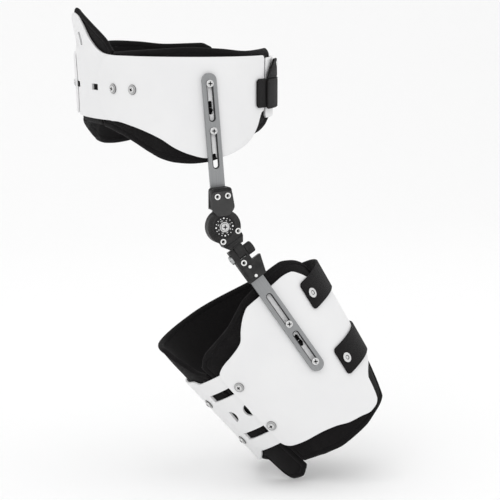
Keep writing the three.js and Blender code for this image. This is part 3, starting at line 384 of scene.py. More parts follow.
def makeFinishes():
    # moulded sheet: faint orange peel, very slight cloudiness, dulled here and there by handling
    tree, shader = newFinish("whiteShell", (0.79, 0.79, 0.795), 0.38, Specular_IOR_Level=0.4)
    spot = objectSpot(tree)
    cloud = noise(tree, spot, 14, 3)
    coloured(tree, shader, cloud, [(0.3, (0.78, 0.78, 0.786)), (0.7, (0.81, 0.81, 0.812))])
    roughened(tree, shader, noise(tree, spot, 60, 6, 0.7), 0.3, 0.5)
    bumped(tree, shader, [(noise(tree, spot, 700, 2), 0.05, 0.0004), (noise(tree, spot, 35, 3), 0.08, 0.002)])

    # brushed fabric over foam: short fibres, with a knit under them
    tree, shader = newFinish("linerFabric", (0.008, 0.0075, 0.0078), 0.95, Sheen_Weight=0.05,
                             Sheen_Roughness=0.5, Specular_IOR_Level=0.08)
    spot = objectSpot(tree)
    fibre = noise(tree, spot, 900, 5, 0.7)
    coloured(tree, shader, fibre, [(0.3, (0.004, 0.0037, 0.0039)), (0.75, (0.014, 0.013, 0.0135))])
    knit = addNode(tree, "ShaderNodeTexVoronoi", [(spot, "Vector")], Scale=1100)
    bumped(tree, shader, [(knit.outputs["Distance"], 0.35, 0.0004), (fibre, 0.4, 0.0006),
                          (noise(tree, spot, 40, 2), 0.25, 0.003)])

    # loop webbing: ribs across, warp threads along, and pile on top
    tree, shader = newFinish("pileWebbing", (0.008, 0.0075, 0.0078), 0.85, Sheen_Weight=0.06,
                             Sheen_Roughness=0.4, Specular_IOR_Level=0.12)
    flat = flatSpot(tree)
    ribs, warp = (addNode(tree, "ShaderNodeTexWave", [(flat, "Vector")], wave_type="BANDS",
                          bands_direction=along, Scale=scale) for along, scale in (("X", 300), ("Y", 420)))
    pile = noise(tree, objectSpot(tree), 1300, 4, 0.7)
    coloured(tree, shader, pile, [(0.3, (0.004, 0.0037, 0.0039)), (0.72, (0.017, 0.016, 0.0165))])
    bumped(tree, shader, [(ribs.outputs["Fac"], 0.3, 0.0004), (warp.outputs["Fac"], 0.2, 0.0003),
                          (pile, 0.5, 0.0006)])

    # satin anodised bar, drawn lengthwise
    tree, shader = newFinish("satinBar", (0.3, 0.305, 0.31), 0.38, 0.85)
    grain = noise(tree, flatSpot(tree, (900, 14, 900)), 1, 6, 0.65)
    coloured(tree, shader, grain, [(0.25, (0.25, 0.255, 0.26)), (0.8, (0.36, 0.365, 0.37))])
    roughened(tree, shader, grain, 0.3, 0.48)
    bumped(tree, shader, [(grain, 0.12, 0.0002)])

    # glass-filled nylon, finely grained, rubbed a little paler in places
    tree, shader = newFinish("grainedBlack", (0.018, 0.0175, 0.0175), 0.5, Specular_IOR_Level=0.2)
    spot = objectSpot(tree)
    rubbed = noise(tree, spot, 110, 5, 0.7)
    coloured(tree, shader, rubbed, [(0.35, (0.018, 0.0176, 0.0176)), (0.75, (0.038, 0.0374, 0.037))])
    roughened(tree, shader, rubbed, 0.42, 0.6)
    bumped(tree, shader, [(noise(tree, spot, 2200, 2), 0.25, 0.0002)])

    # the shield over the housing, paler grey than the black block behind: painted light that makes its front face
    # read lit and the block's sides shaded; evenly worn
    tree, shader = newFinish("coverGrey", (0.052, 0.052, 0.052), 0.55, Specular_IOR_Level=0.3)
    spot = objectSpot(tree)
    worn = noise(tree, spot, 90, 4, 0.6)
    coloured(tree, shader, worn, [(0.3, (0.036, 0.036, 0.036)), (0.75, (0.049, 0.0485, 0.048))])
    bumped(tree, shader, [(noise(tree, spot, 2400, 2), 0.2, 0.0002)])

    tree, shader = newFinish("dialBlack", (0.008, 0.008, 0.008), 0.45, Specular_IOR_Level=0.3)
    bumped(tree, shader, [(noise(tree, objectSpot(tree), 2600, 2), 0.15, 0.00015)])

    # plated and painted small parts
    plainFinish("washerGrey", (0.46, 0.46, 0.46), 0.35, 0.9, (900, 3), 0.32, 0.5)
    plainFinish("brightSteel", (0.66, 0.66, 0.66), 0.22, 1.0, (600, 4, 0.6), 0.14, 0.3)
    plainFinish("dullSteel", (0.42, 0.43, 0.43), 0.38, 0.9, (500, 4), 0.3, 0.5)
    # near black: painted shade for the walls of slots and crosses, rims and hidden shanks, where light doesn't
    # reach
    plainFinish("paintedShadeMetal", (0.03, 0.03, 0.032), 0.6, 0.3, (1200, 3), 0.5, 0.7)
    plainFinish("whiteRing", (0.83, 0.83, 0.82), 0.32, 0.15, (800, 3), 0.25, 0.4, Coat_Weight=0.3)
    plainFinish("whiteMark", (0.9, 0.9, 0.9), 0.5, 0.0, (1500, 3), 0.42, 0.58)


makeFinishes()
print("finishes made")


def allCorners(radius):
    return dict.fromkeys(("fromBottom", "fromTop", "toBottom", "toTop"), radius)


def asCurve(value):
    return value if callable(value) else lambda angle: value


rounded = allCorners(5)
lineSamples = 60


# a sheet or pad: a grid laid out flat, thickened, then pressed on its form between its trimlines
def pressed(form, cut):
    ends = {**allCorners(0), **cut.get("corners", {})}
    start, finish = cut["from"], cut["to"]
    start = start if isinstance(start, tuple) else (start, start)
    finish = finish if isinstance(finish, tuple) else (finish, finish)
    bottom, top, outer, inner = (asCurve(cut[key]) for key in ("bottom", "top", "outer", "inner"))

    def angleAt(s, v):
        return mixed(mixed(*start, v), mixed(*finish, v), s)

    line = []
    for i in range(lineSamples + 1):
        angle = angleAt(i / lineSamples, 0.5)
        line.append(form(angle, (bottom(angle) + top(angle)) / 2, 0))
    length = sum((b - a).length for a, b in zip(line, line[1:]))

    rim = cut.get("rim", 0.8)
    edge = [rim * (1 - math.cos(i / 3 * math.pi / 2)) for i in range(4)] + cut.get("border", [])
    near = set(round(d, 4) for d in edge)
    for radius in ends.values():
        steps = 14 if radius > 12 else 6
        near |= set(round(radius * (1 - math.cos(i / steps * math.pi / 2)), 4)
                    for i in range(steps + 1) if radius)
    near = sorted(near)
    run = length - 2 * near[-1]
    columns = max(2, math.ceil(run / cut.get("step", 3)))
    across = near + [near[-1] + run * i / columns for i in range(1, columns)]
    across += [length - d for d in reversed(near)]
    shares = [across[0] / length]
    for d in across[1:]:
        if d / length - shares[-1] > 2e-4:
            shares.append(d / length)
    rows = [("low", d) for d in edge] + [("mid", i / cut["rows"]) for i in range(1, cut["rows"])]
    rows += [("high", d) for d in reversed(edge)]

    bpy.ops.mesh.primitive_grid_add(x_subdivisions=len(shares) - 1, y_subdivisions=len(rows) - 1, size=2)
    sheet = bpy.context.object
    editAll(sheet)
    bpy.ops.mesh.extrude_region_move(TRANSFORM_OT_translate={"value": (0, 0, 1)})
    bpy.ops.mesh.select_all(action="SELECT")
    bpy.ops.mesh.normals_make_consistent(inside=False)
    editDone()

    def inset(distance, radius):
        return 0 if distance >= radius else radius - math.sqrt(radius ** 2 - (radius - distance) ** 2)

    relief = cut.get("relief", lambda d, along, height: 0)
    flats = []
    for vertex in sheet.data.vertices:
        s = shares[round((vertex.co.x + 1) / 2 * (len(shares) - 1))]
        kind, value = rows[round((vertex.co.y + 1) / 2 * (len(rows) - 1))]
        along, left = s * length, (1 - s) * length
        low = bottom(angleAt(s, 0)) + max(inset(along, ends["fromBottom"]), inset(left, ends["toBottom"]))
        high = top(angleAt(s, 1)) - max(inset(along, ends["fromTop"]), inset(left, ends["toTop"]))
        reach = min(edge[-1], (high - low) / 3)
        squeeze = reach / edge[-1]
        if kind == "low":
            height = low + value * squeeze
        elif kind == "high":
            height = high - value * squeeze
        else:
            height = mixed(low + reach, high - reach, value)
        v = (height - low) / max(high - low, 0.01)
        angle = angleAt(s, v)
        d = min(height - low, high - height, along, left)
        sink = rim - math.sqrt(max(0, rim ** 2 - (rim - min(d, rim)) ** 2))
        thick = outer(angle) - inner(angle)
        if vertex.co.z > 0.5:
            offset = outer(angle) - min(sink, thick / 2) + relief(d, along, height)
        else:
            offset = inner(angle) + min(sink, thick / 2) - cut.get("innerRelief", relief)(d, along, height)
        vertex.co = form(angle, height, offset) * mm
        flats.append((along * mm, height * mm))
    flatLayer = sheet.data.uv_layers.get("flat") or sheet.data.uv_layers.new(name="flat")
    for loop in sheet.data.loops:
        flatLayer.data[loop.index].uv = flats[loop.vertex_index]
    editAll(sheet)
    bpy.ops.mesh.normals_make_consistent(inside=False)
    editDone()
    return sheet


def windowThrough(form, start, finish, low, high, corner=1.2):
    return pressed(form, {"from": start, "to": finish, "bottom": low, "top": high,
                          "outer": 4, "inner": -12, "rows": 2, "step": 4, "rim": 0.01,
                          "corners": allCorners(corner)})


def boreThrough(form, angle, height, radius):
    drill = disc(radius, 24, along="Z", sides=32)
    return seatedAt(drill, form(angle, height, 0), normalOn(form, angle, height))


def slotCut(low, high, radius=3.0, thick=12, at=0):
    cutter = block((2 * radius, thick, high - low - 2 * radius), (0, at, (low + high) / 2))
    cutWith(cutter, [disc(radius, thick, (0, at, high - radius), sides=40),
                     disc(radius, thick, (0, at, low + radius), sides=40)], "UNION")
    return cutter


# key-shaped holes in the shells behind the bars, seen through the bars' slots, and the screws' heights
keyHoles = {"slot": 2.5, "eye": 3.3, "eyeAt": 0.3, "long": 24, "upper": [(129, 145), (75, 84)],
            "lower": [(-133, -117)]}
barScrews = {"upper": (165, 110.5), "lower": (-156, -101.5), "bore": 3, "seat": -1.9}


def keyHole(place, low, high):
    hole = slotCut(low, high, keyHoles["slot"], keyHoles["long"])
    spot = (0, 0, mixed(low, high, keyHoles["eyeAt"]))
    cutWith(hole, [disc(keyHoles["eye"], keyHoles["long"], spot, sides=32)], "UNION")
    return placed(hole, place)


# pelvic band
level = {"hipTop": 46, "hipDrop": 70, "lumbarPeak": 95, "lumbarDrop": 31, "linerPeak": 101, "linerDrop": 38,
         "hipLinerTop": 57, "hipLinerDrop": 77, "tongueTop": 43, "tongueDrop": 28}
hipBottomRows = [(139, 0), (128, 0.11), (120, 0.26), (113, 0.46), (107, 0.72), (101, 0.9), (95, 1),
                 (88.5, 0.97), (81, 0.79), (75, 0.55), (70, 0.18)]
panelScrews = {"angles": (140, 127), "height": 7.2, "bore": 2.7}
# from angle, to angle, lower and upper edge: one behind, then one at each side
lumbarWindows = [(182.2, 177.8, 56, 72), (166, 122, 3.45, 10.95), (238, 194, 3.45, 10.95)]
noseRadius = 37


def bothSides(curve):
    return lambda angle: curve(180 - abs(180 - angle))


def makeLumbarPanel():
    panel = pressed(onBand, {
        "from": 235, "to": 125, "rows": 12, "step": 2.5, "outer": under, "inner": under - layer["shell"],
        "bottom": -level["lumbarDrop"], "corners": rounded,
        "top": bothSides(trimline([(138, 0), (148, 0.03), (158, 0.17), (165.5, 0.42), (169.5, 0.7), (175, 0.94),
                                   (180, 1)], level["hipTop"], level["lumbarPeak"]))})
    cutWith(panel, [windowThrough(onBand, *window) for window in lumbarWindows])
    done(panel, "lumbarPanel", "whiteShell", "pelvis", "lumbar_panel")


def panelBores(side):
    return [boreThrough(onBand, side * angle, panelScrews["height"], panelScrews["bore"])
            for angle in panelScrews["angles"]]


def makeHipPanels():
    right = pressed(onBand, {
        "from": 155, "to": 63.5, "rows": 14, "outer": 0, "inner": -layer["shell"],
        "corners": {**rounded, "fromBottom": noseRadius, "fromTop": noseRadius},
        "bottom": trimline(hipBottomRows + [(65.5, -0.28)], -level["lumbarDrop"], -level["hipDrop"]),
        "top": level["hipTop"]})
    bores = panelBores(1)
    tilt = math.radians(hinge["upperTilt"])
    for up in barScrews["upper"]:
        drill = disc(barScrews["bore"], 60, sides=32)
        spot = (hinge["forward"] - math.sin(tilt) * up, -hinge["out"], -hinge["drop"] + math.cos(tilt) * up)
        bores.append(placed(drill, Matrix.Translation(spot)))
    cutWith(right, bores + [keyHole(upperPlace, *ends) for ends in keyHoles["upper"]])
    done(right, "rightHipPanel", "whiteShell", "pelvis", "right_hip_panel")

    tongue = (level["tongueDrop"] - level["lumbarDrop"]) / (level["hipDrop"] - level["lumbarDrop"])
    left = pressed(onBand, {
        "from": 62, "to": -155, "rows": 14, "outer": 0, "inner": -layer["shell"],
        "corners": {**rounded, "toBottom": noseRadius, "toTop": noseRadius},
        "bottom": trimline([(-a, share) for a, share in hipBottomRows] + [(-62, tongue), (62, tongue)],
                           -level["lumbarDrop"], -level["hipDrop"]),
        "top": trimline([(20, 0), (-40, 1)], level["tongueTop"], level["hipTop"])})
    cutWith(left, panelBores(-1))
    done(left, "leftHipPanel", "whiteShell", "pelvis", "left_hip_panel")


# foam pads: a rounded rim, the bound edge, and a sewn line that draws the pad in beside it
# the pad is fullest away from its sewn line and a little uneven, always inside its plain thickness
padFeel = {"seamAt": 7, "seamWidth": 0.9, "sewn": 0.9, "slack": 0.9, "reach": 16, "uneven": 0.8}


def sewnEdge(d, along, height):
    seam = padFeel["sewn"] * math.exp(-((d - padFeel["seamAt"]) / padFeel["seamWidth"]) ** 2)
    ease = smoothStep(d, 3, 11)
    slack = padFeel["slack"] * math.exp(-max(0, d - padFeel["seamAt"]) / padFeel["reach"])
    wave = math.sin(along / 17 + height / 31) * math.sin(height / 13 - along / 41)
    return -seam - ease * (slack + padFeel["uneven"] * (1 + wave) / 2)


padCut = {"rows": 16, "step": 3, "rim": 3.2, "border": [4.4, 5.6, 6.4, 7, 7.6, 8.6, 10.5, 13],
          "relief": sewnEdge}


def makePad(form, name, body, node, cut):
    pad = pressed(form, {**padCut, **cut})
    done(pad, name, "linerFabric", body, node)


def steppedBehind(edge):
    return lambda angle: mixed(under, inmost, smoothStep(abs(angle), edge - 13, edge - 5.5))


def makeBandLiners():
    makePad(onBand, "lumbarLiner", "pelvis", "lumbar_liner", {
        "from": (202.6, 217.6), "to": (157.4, 142.4), "outer": inmost, "inner": inmost - layer["pad"],
        "bottom": -level["linerDrop"], "corners": {"fromBottom": 5, "toBottom": 5},
        "top": bothSides(trimline([(142, 0.1), (150, 0.38), (163, 0.68), (176, 0.93), (180, 1)],
                                  level["hipTop"], level["linerPeak"]))})

    topLine = trimline([(150, 0.3), (127, 0.59), (113, 0.82), (101, 1), (89, 0.85), (76, 0.55), (64, 0.66),
                        (57, 0.72), (50, 0.3)], level["hipTop"], level["hipLinerTop"])
    bottomLine = trimline([(157, 0.2), (138, 0.36), (128, 0.54), (120, 0.74), (113, 0.9), (107, 0.98), (101, 1),
                           (95, 0.97), (88.5, 0.86), (81, 0.63), (75, 0.44), (70, 0.32), (66, 0.27), (60, 0.17),
                           (50, 0)], -level["lumbarDrop"], -level["hipLinerDrop"])
    behind = steppedBehind(125)
    shared = {"outer": behind, "inner": lambda a: behind(a) - layer["pad"]}
    makePad(onBand, "rightHipLiner", "pelvis", "right_hip_liner", {
        **shared, "from": (157, 142), "to": 50, "bottom": bottomLine, "top": topLine,
        "corners": {"fromBottom": 5, "toBottom": 5, "toTop": 5}})
    makePad(onBand, "leftHipLiner", "pelvis", "left_hip_liner", {
        **shared, "from": -50, "to": (-157, -142), "bottom": lambda a: bottomLine(-a),
        "top": lambda a: topLine(-a), "corners": {"fromBottom": 5, "fromTop": 5, "toBottom": 5}})


makeLumbarPanel()
makeHipPanels()
print("band panels pressed")
makeBandLiners()
print("band liners sewn")


# webbing: a thin hem is drawn in along the edge of the outer side
hem = {"at": 2.2, "width": 0.5, "draw": 0.25}


def hemmed(d, along, height):
    return -hem["draw"] * math.exp(-((d - hem["at"]) / hem["width"]) ** 2)


strapCut = {"rows": 10, "step": 2.5, "rim": 0.9, "border": [1.6, 2.2, 2.8, 4], "relief": hemmed,
            "innerRelief": lambda *spot: 0, "corners": rounded}

# belly closure
closure = {"level": 2, "width": 34, "padEnd": 71, "padHidden": 20, "strapEnd": 64, "strapFar": -71, "below": 2,
           "short": 1, "tabRise": 22, "tabCorner": 3.2, "ringAngle": 50, "ringDrop": 6.4, "ringBore": 2.54}
closureLow, closureHigh = closure["level"] - closure["width"] / 2, closure["level"] + closure["width"] / 2
tabLow = closureHigh + layer["gap"]
tabRingSpot = (closure["ringAngle"], tabLow + closure["tabRise"] - closure["ringDrop"])


def makeBellyClosure():
    rise = layer["gap"] + layer["webbing"]
    hookPad = pressed(onBand, {**strapCut, "from": closure["padEnd"], "to": closure["padHidden"],
                               "bottom": closureLow, "top": closureHigh, "outer": rise, "inner": layer["gap"]})
    done(hookPad, "bellyHookPad", "pileWebbing", "pelvis", "belly_hook_pad")

    def face(angle):
        return layer["gap"] + rise * smoothStep(angle, closure["padHidden"] - 16, closure["padHidden"] - 6)

    strap = pressed(onBand, {**strapCut, "from": closure["strapEnd"], "to": closure["strapFar"],
                             "bottom": closureLow - closure["below"], "top": closureHigh - closure["short"],
                             "inner": face, "outer": lambda a: face(a) + layer["webbing"]})
    done(strap, "bellyStrap", "pileWebbing", "pelvis", "belly_strap")

    tab = pressed(onBand, {**strapCut, "step": 1.5, "from": (64, 54), "to": (43, 46), "bottom": tabLow,
                           "top": tabLow + closure["tabRise"], "inner": rise, "outer": rise + layer["webbing"],
                           "corners": {"fromTop": closure["tabCorner"], "toTop": closure["tabCorner"]}})
    cutWith(tab, [boreThrough(onBand, *tabRingSpot, closure["ringBore"])])
    done(tab, "bellyStrapTab", "pileWebbing", "pelvis", "belly_strap_tab")


makeBellyClosure()
print("belly closure sewn")


# thigh cuff
cuffLevel = {"top": 53.5, "bottom": 248.5, "backTop": 107.5, "backBottom": 215.5, "linerTop": 37.5,
             "linerBottom": 259.5, "flap": 47}
cuffScrews = {"right": (130.5, (130.5, 190.5)), "left": (173, (136.5, 195.5)), "bore": 2.7}
thighStraps = {"upper": {"level": 92.5, "end": 57, "rivet": 52}, "lower": {"level": 179, "end": 62, "rivet": 56}}
strapRun = {"width": 36, "far": -64}
cuffWindows = {"from": 161.5, "to": 134.5, "levels": (131, 191.5), "half": 5, "corner": 0.8}
# half-round vents, each by its angle and its turn about its own axis
cuffVents = {"radius": 8, "level": 161.5, "places": ((157, 0), (138, 180))}


def cuffScrewBores():
    return [boreThrough(onCuff, angle, -down, cuffScrews["bore"])
            for angle, levels in (cuffScrews["right"], cuffScrews["left"]) for down in levels]


def makeCuffPanels():
    lateral = pressed(onCuff, {
        "from": (135, 138), "to": 12, "rows": 26, "step": 2.5, "outer": 0, "inner": -layer["shell"],
        "corners": rounded,
        "bottom": trimline([(135, 0), (132, 0.15), (128, 0.27), (117, 0.37), (105, 0.42), (93, 0.55), (82, 0.76),
                            (71, 0.88), (61, 1), (53, 0.97), (48, 0.85), (45.3, 0.5), (44.3, 0.1), (31, -0.25),
                            (12, -0.5)], -cuffLevel["backBottom"], -cuffLevel["bottom"]),
        "top": trimline([(138, 1), (134, 0.91), (129, 0.83), (120, 0.74), (111, 0.61), (106, 0.39), (99, 0.15),
                         (94, 0.05), (86, 0.03), (66, 0), (57, 0.05), (50, 0.24), (45, 0.43), (37, 0.7),
                         (12, 0.9)], -cuffLevel["top"], -cuffLevel["backTop"])})
    bores = cuffScrewBores()
    bores += [boreThrough(onCuff, s["rivet"], -s["level"], cuffScrews["bore"]) for s in thighStraps.values()]
    bores += [placed(disc(barScrews["bore"], 60, (0, 0, up), sides=32), lowerPlace)
              for up in barScrews["lower"]]
    cutWith(lateral, bores + [keyHole(lowerPlace, *ends) for ends in keyHoles["lower"]])
    done(lateral, "thighLateralPanel", "whiteShell", "thigh_cuff", "thigh_lateral_panel")

    posterior = pressed(onCuff, {
        "from": 310, "to": 124, "rows": 22, "step": 2.5, "outer": under, "inner": under - layer["shell"],
        "corners": {"fromBottom": 18.5, "fromTop": 18.5, "toBottom": 5, "toTop": 5},
        "bottom": trimline([(124, 0), (159, 0), (166, 0.2), (179, 0.4), (240, 0.45), (310, 0.1)],
                           -cuffLevel["backBottom"], -cuffLevel["bottom"]),
        "top": trimline([(124, 0), (161, 0), (168, 0.09), (205, 0.1), (250, 0.5), (310, 0.42)],
                        -cuffLevel["backTop"], -cuffLevel["flap"])})
    bores = cuffScrewBores()
    size = cuffWindows
    bores += [windowThrough(onCuff, size["from"], size["to"], -down - size["half"], -down + size["half"],
                            size["corner"]) for down in size["levels"]]
    for angle, turn in cuffVents["places"]:
        vent = disc(cuffVents["radius"], 24, along="Z", sides=64)
        editAll(vent)
        bpy.ops.mesh.bisect(plane_co=(0, 0, 0), plane_no=(1, 0, 0), use_fill=True, clear_inner=True)
        editDone()
        normal = normalOn(onCuffFlat, angle, -cuffVents["level"])
        spin = Matrix.Rotation(math.atan2(normal.x, -normal.y), 4, "Z")
        place = Matrix.Translation(onCuffFlat(angle, -cuffVents["level"], under)) @ spin
        bores.append(placed(vent, lowerPlace @ (place @ turned(90, "X") @ turned(turn, "Z"))))
    cutWith(posterior, bores)
    done(posterior, "thighPosteriorPanel", "whiteShell", "thigh_cuff", "thigh_posterior_panel")


def makeCuffLiners():
    behind = steppedBehind(124)
    makePad(onCuff, "thighLateralLiner", "thigh_cuff", "thigh_lateral_liner", {
        "rows": 24, "from": (132.6, 149.6), "to": 16, "outer": behind,
        "inner": lambda a: behind(a) - layer["pad"],
        "corners": {"fromBottom": 5, "toBottom": 5, "toTop": 5},
        "bottom": trimline([(131, 0.8), (120, 0.86), (108, 0.93), (95, 1), (71, 0.98), (57, 0.91), (44, 0.86),
                            (34, 0.8), (30, 0.6), (16, 0)], -cuffLevel["backBottom"], -cuffLevel["linerBottom"]),
        "top": trimline([(150, 0.74), (140, 0.58), (128, 0.49), (113, 0.38), (102, 0.24), (94, 0.14), (86, 0.1),
                         (71, 0), (59, 0.02), (49, 0.12), (39, 0.29), (33, 0.52), (16, 0.8)],
                        -cuffLevel["linerTop"], -cuffLevel["backTop"])})
    makePad(onCuff, "thighPosteriorLiner", "thigh_cuff", "thigh_posterior_liner", {
        "rows": 24, "from": 306, "to": (133, 150), "outer": inmost, "inner": inmost - layer["pad"],
        "corners": {"fromBottom": 18.5, "fromTop": 18.5, "toBottom": 5},
        "bottom": trimline([(133, 0.98), (145, 1.17), (155, 1.15), (161, 0.95), (165, 0.4), (180, 0.36),
                            (250, 0.5), (310, 0.3)], -cuffLevel["backBottom"], -cuffLevel["linerBottom"]),
        "top": trimline([(150, 0.13), (159, 0.26), (166, 0.53), (173, 0.72), (183, 0.94), (200, 1), (250, 0.94),
                         (310, 0.75)], -cuffLevel["backTop"], -cuffLevel["flap"])})


def makeThighStraps():
    def drop(angle):
        return under * smoothStep(-angle, -6, 44)

    for name, strap in thighStraps.items():
        webStrap = pressed(onCuff, {
            **strapCut, "from": strap["end"], "to": strapRun["far"],
            "bottom": -strap["level"] - strapRun["width"] / 2, "top": -strap["level"] + strapRun["width"] / 2,
            "inner": lambda a: layer["gap"] + drop(a),
            "outer": lambda a: layer["gap"] + layer["webbing"] + drop(a)})
        cutWith(webStrap, [boreThrough(onCuff, strap["rivet"], -strap["level"], cuffScrews["bore"])])
        done(webStrap, name + "ThighStrap", "pileWebbing", "thigh_cuff", name + "_thigh_strap")


makeCuffPanels()
print("cuff panels pressed")
makeCuffLiners()
makeThighStraps()
print("cuff liners and straps sewn")

# fasteners, each modelled once about +Z with its seat at 0, then copied to its places
screwKinds = {"bar": {"head": 4.5, "height": 2.2, "shank": 2.7, "slot": 5.2},
              "panel": {"head": 3.8, "height": 1.6, "shank": 2.4, "slot": 4.4},
              "centre": {"head": 4.5, "height": 2.2, "shank": 3, "slot": 5.4}}
ringSizes = {"flange": 3.5, "barrel": 2.6, "bore": 2.0, "thick": 1.0, "through": 2.9}
# rounded rings: inner and outer radius, foot, height and edge radius
ringProfiles = {"washer": (2.5, 6, 0, 1, 0.7), "rivet": (2.2, 6.2, 0, 1.5, 0.7), "dial": (4.7, 5.9, 0, 0.5, 0.2),
                "tab": (1.6, 3.2, 0, 0.9, 0.4)}
# x to either side, seat and height of the eyelets, each in the frame of its part
eyeletPairs = {"bracket": {"x": 6.3, "seat": -16, "up": 36}, "plate": {"x": 10.9, "seat": -14.2, "up": -13.4}}
blockEyelet = (-4, -12.2, -10.1)
blockStuds = {"radius": 1.9, "height": 1.1, "x": -0.8, "seat": -12.2, "down": (17.9, 30.4)}
panelLift = 1.0


def crossScrew(kind, depth, lift=0.0):
    size = screwKinds[kind]
    screw = disc(size["head"], size["height"], (0, 0, lift + size["height"] / 2), "Z", 40)
    roundEnd(screw, (0, 0, 1), size["height"] * 0.55, 5)
    shank = disc(size["shank"], depth + lift, (0, 0, (lift - depth) / 2), "Z", 32)
    cutWith(screw, [shank], "UNION")
    wing = size["slot"]
    top = lift + size["height"]
    cross = block((wing, 1.1, 2.4), (0, 0, top))
    cutWith(cross, [block((1.1, wing, 2.4), (0, 0, top))], "UNION")
    well = disc(1.3, 3.4, (0, 0, top), "Z", 24)
    cutWith(screw, [cross, well])
    return screw


# the walls and floor of the cross, so that painted shade can be laid on them on each copy
def crossFaces(screw, kind, lift=0.0):
    top = lift + screwKinds[kind]["height"]
    return facesWhere(screw, lambda spot, normal: (math.hypot(spot.x, spot.y) < 2.9
                                                   and lift - 2.5 < spot.z < top - 0.2))


def spunRing(profile, sides=40):
    bpy.ops.mesh.primitive_circle_add(vertices=len(profile), radius=0.001, fill_type="NOTHING")
    ring = bpy.context.object
    for vertex, (radius, height) in zip(ring.data.vertices, profile):
        vertex.co = (radius * mm, 0, height * mm)
    editAll(ring)
    bpy.ops.mesh.spin(steps=sides, angle=2 * math.pi, center=(0, 0, 0), axis=(0, 0, 1))
    bpy.ops.mesh.select_all(action="SELECT")
    bpy.ops.mesh.remove_doubles(threshold=1e-6)
    bpy.ops.mesh.normals_make_consistent(inside=False)
    editDone()
    return ring


def roundedRing(inner, outer, low, high, edge, steps=4):
    profile = [(inner, low), (outer, low)]
    for i in range(steps + 1):
        turn = i / steps * math.pi / 2
        profile.append((outer - edge + edge * math.cos(turn), high - edge + edge * math.sin(turn)))
    for i in range(steps + 1):
        turn = i / steps * math.pi / 2
        profile.append((inner + edge - edge * math.sin(turn), high - edge + edge * math.cos(turn)))
    return profile


def makeEyelets():
    size = ringSizes
    model = spunRing(roundedRing(size["bore"], size["flange"], 0.05, size["thick"], 0.45))
    tube = spunRing([(size["bore"], -4), (size["barrel"], -4), (size["barrel"], 0.3), (size["bore"], 0.3)])
    cutWith(model, [tube], "UNION")
    spots = []
    for part, place, body in (("bracket", upperPlace, "upper_upright"), ("plate", platePlace, "hinge_plate")):
        pair = eyeletPairs[part]
        for i, x in enumerate((-pair["x"], pair["x"])):
            spots.append((part + "_eyelet_" + str(i + 1), place, (x, pair["seat"], pair["up"]), body))
    for node, place, spot, body in spots + [("block_eyelet", lowerPlace, blockEyelet, "lower_upright")]:
        ring = seatedOn(copyOf(model), place, spot)
        done(ring, node.replace("_", "") + "Ring", "whiteRing", body, node)
    bpy.data.objects.remove(model)
    size = blockStuds
    for i, down in enumerate(size["down"]):
        stud = disc(size["radius"], size["height"], (0, 0, size["height"] / 2), "Z", 28)
        roundEnd(stud, (0, 0, 1), 0.45, 3)
        seatedOn(stud, lowerPlace, (size["x"], size["seat"], -down))
        done(stud, "blockStud" + str(i + 1), "whiteRing", "lower_upright", "block_stud_" + str(i + 1))


# a piece of bright metal whose recesses get painted shade
def brightPiece(piece, name, body, shadow, *nodes):
    done(piece, name, "brightSteel", body, *nodes)
    tinted(piece, "paintedShadeMetal", shadow)


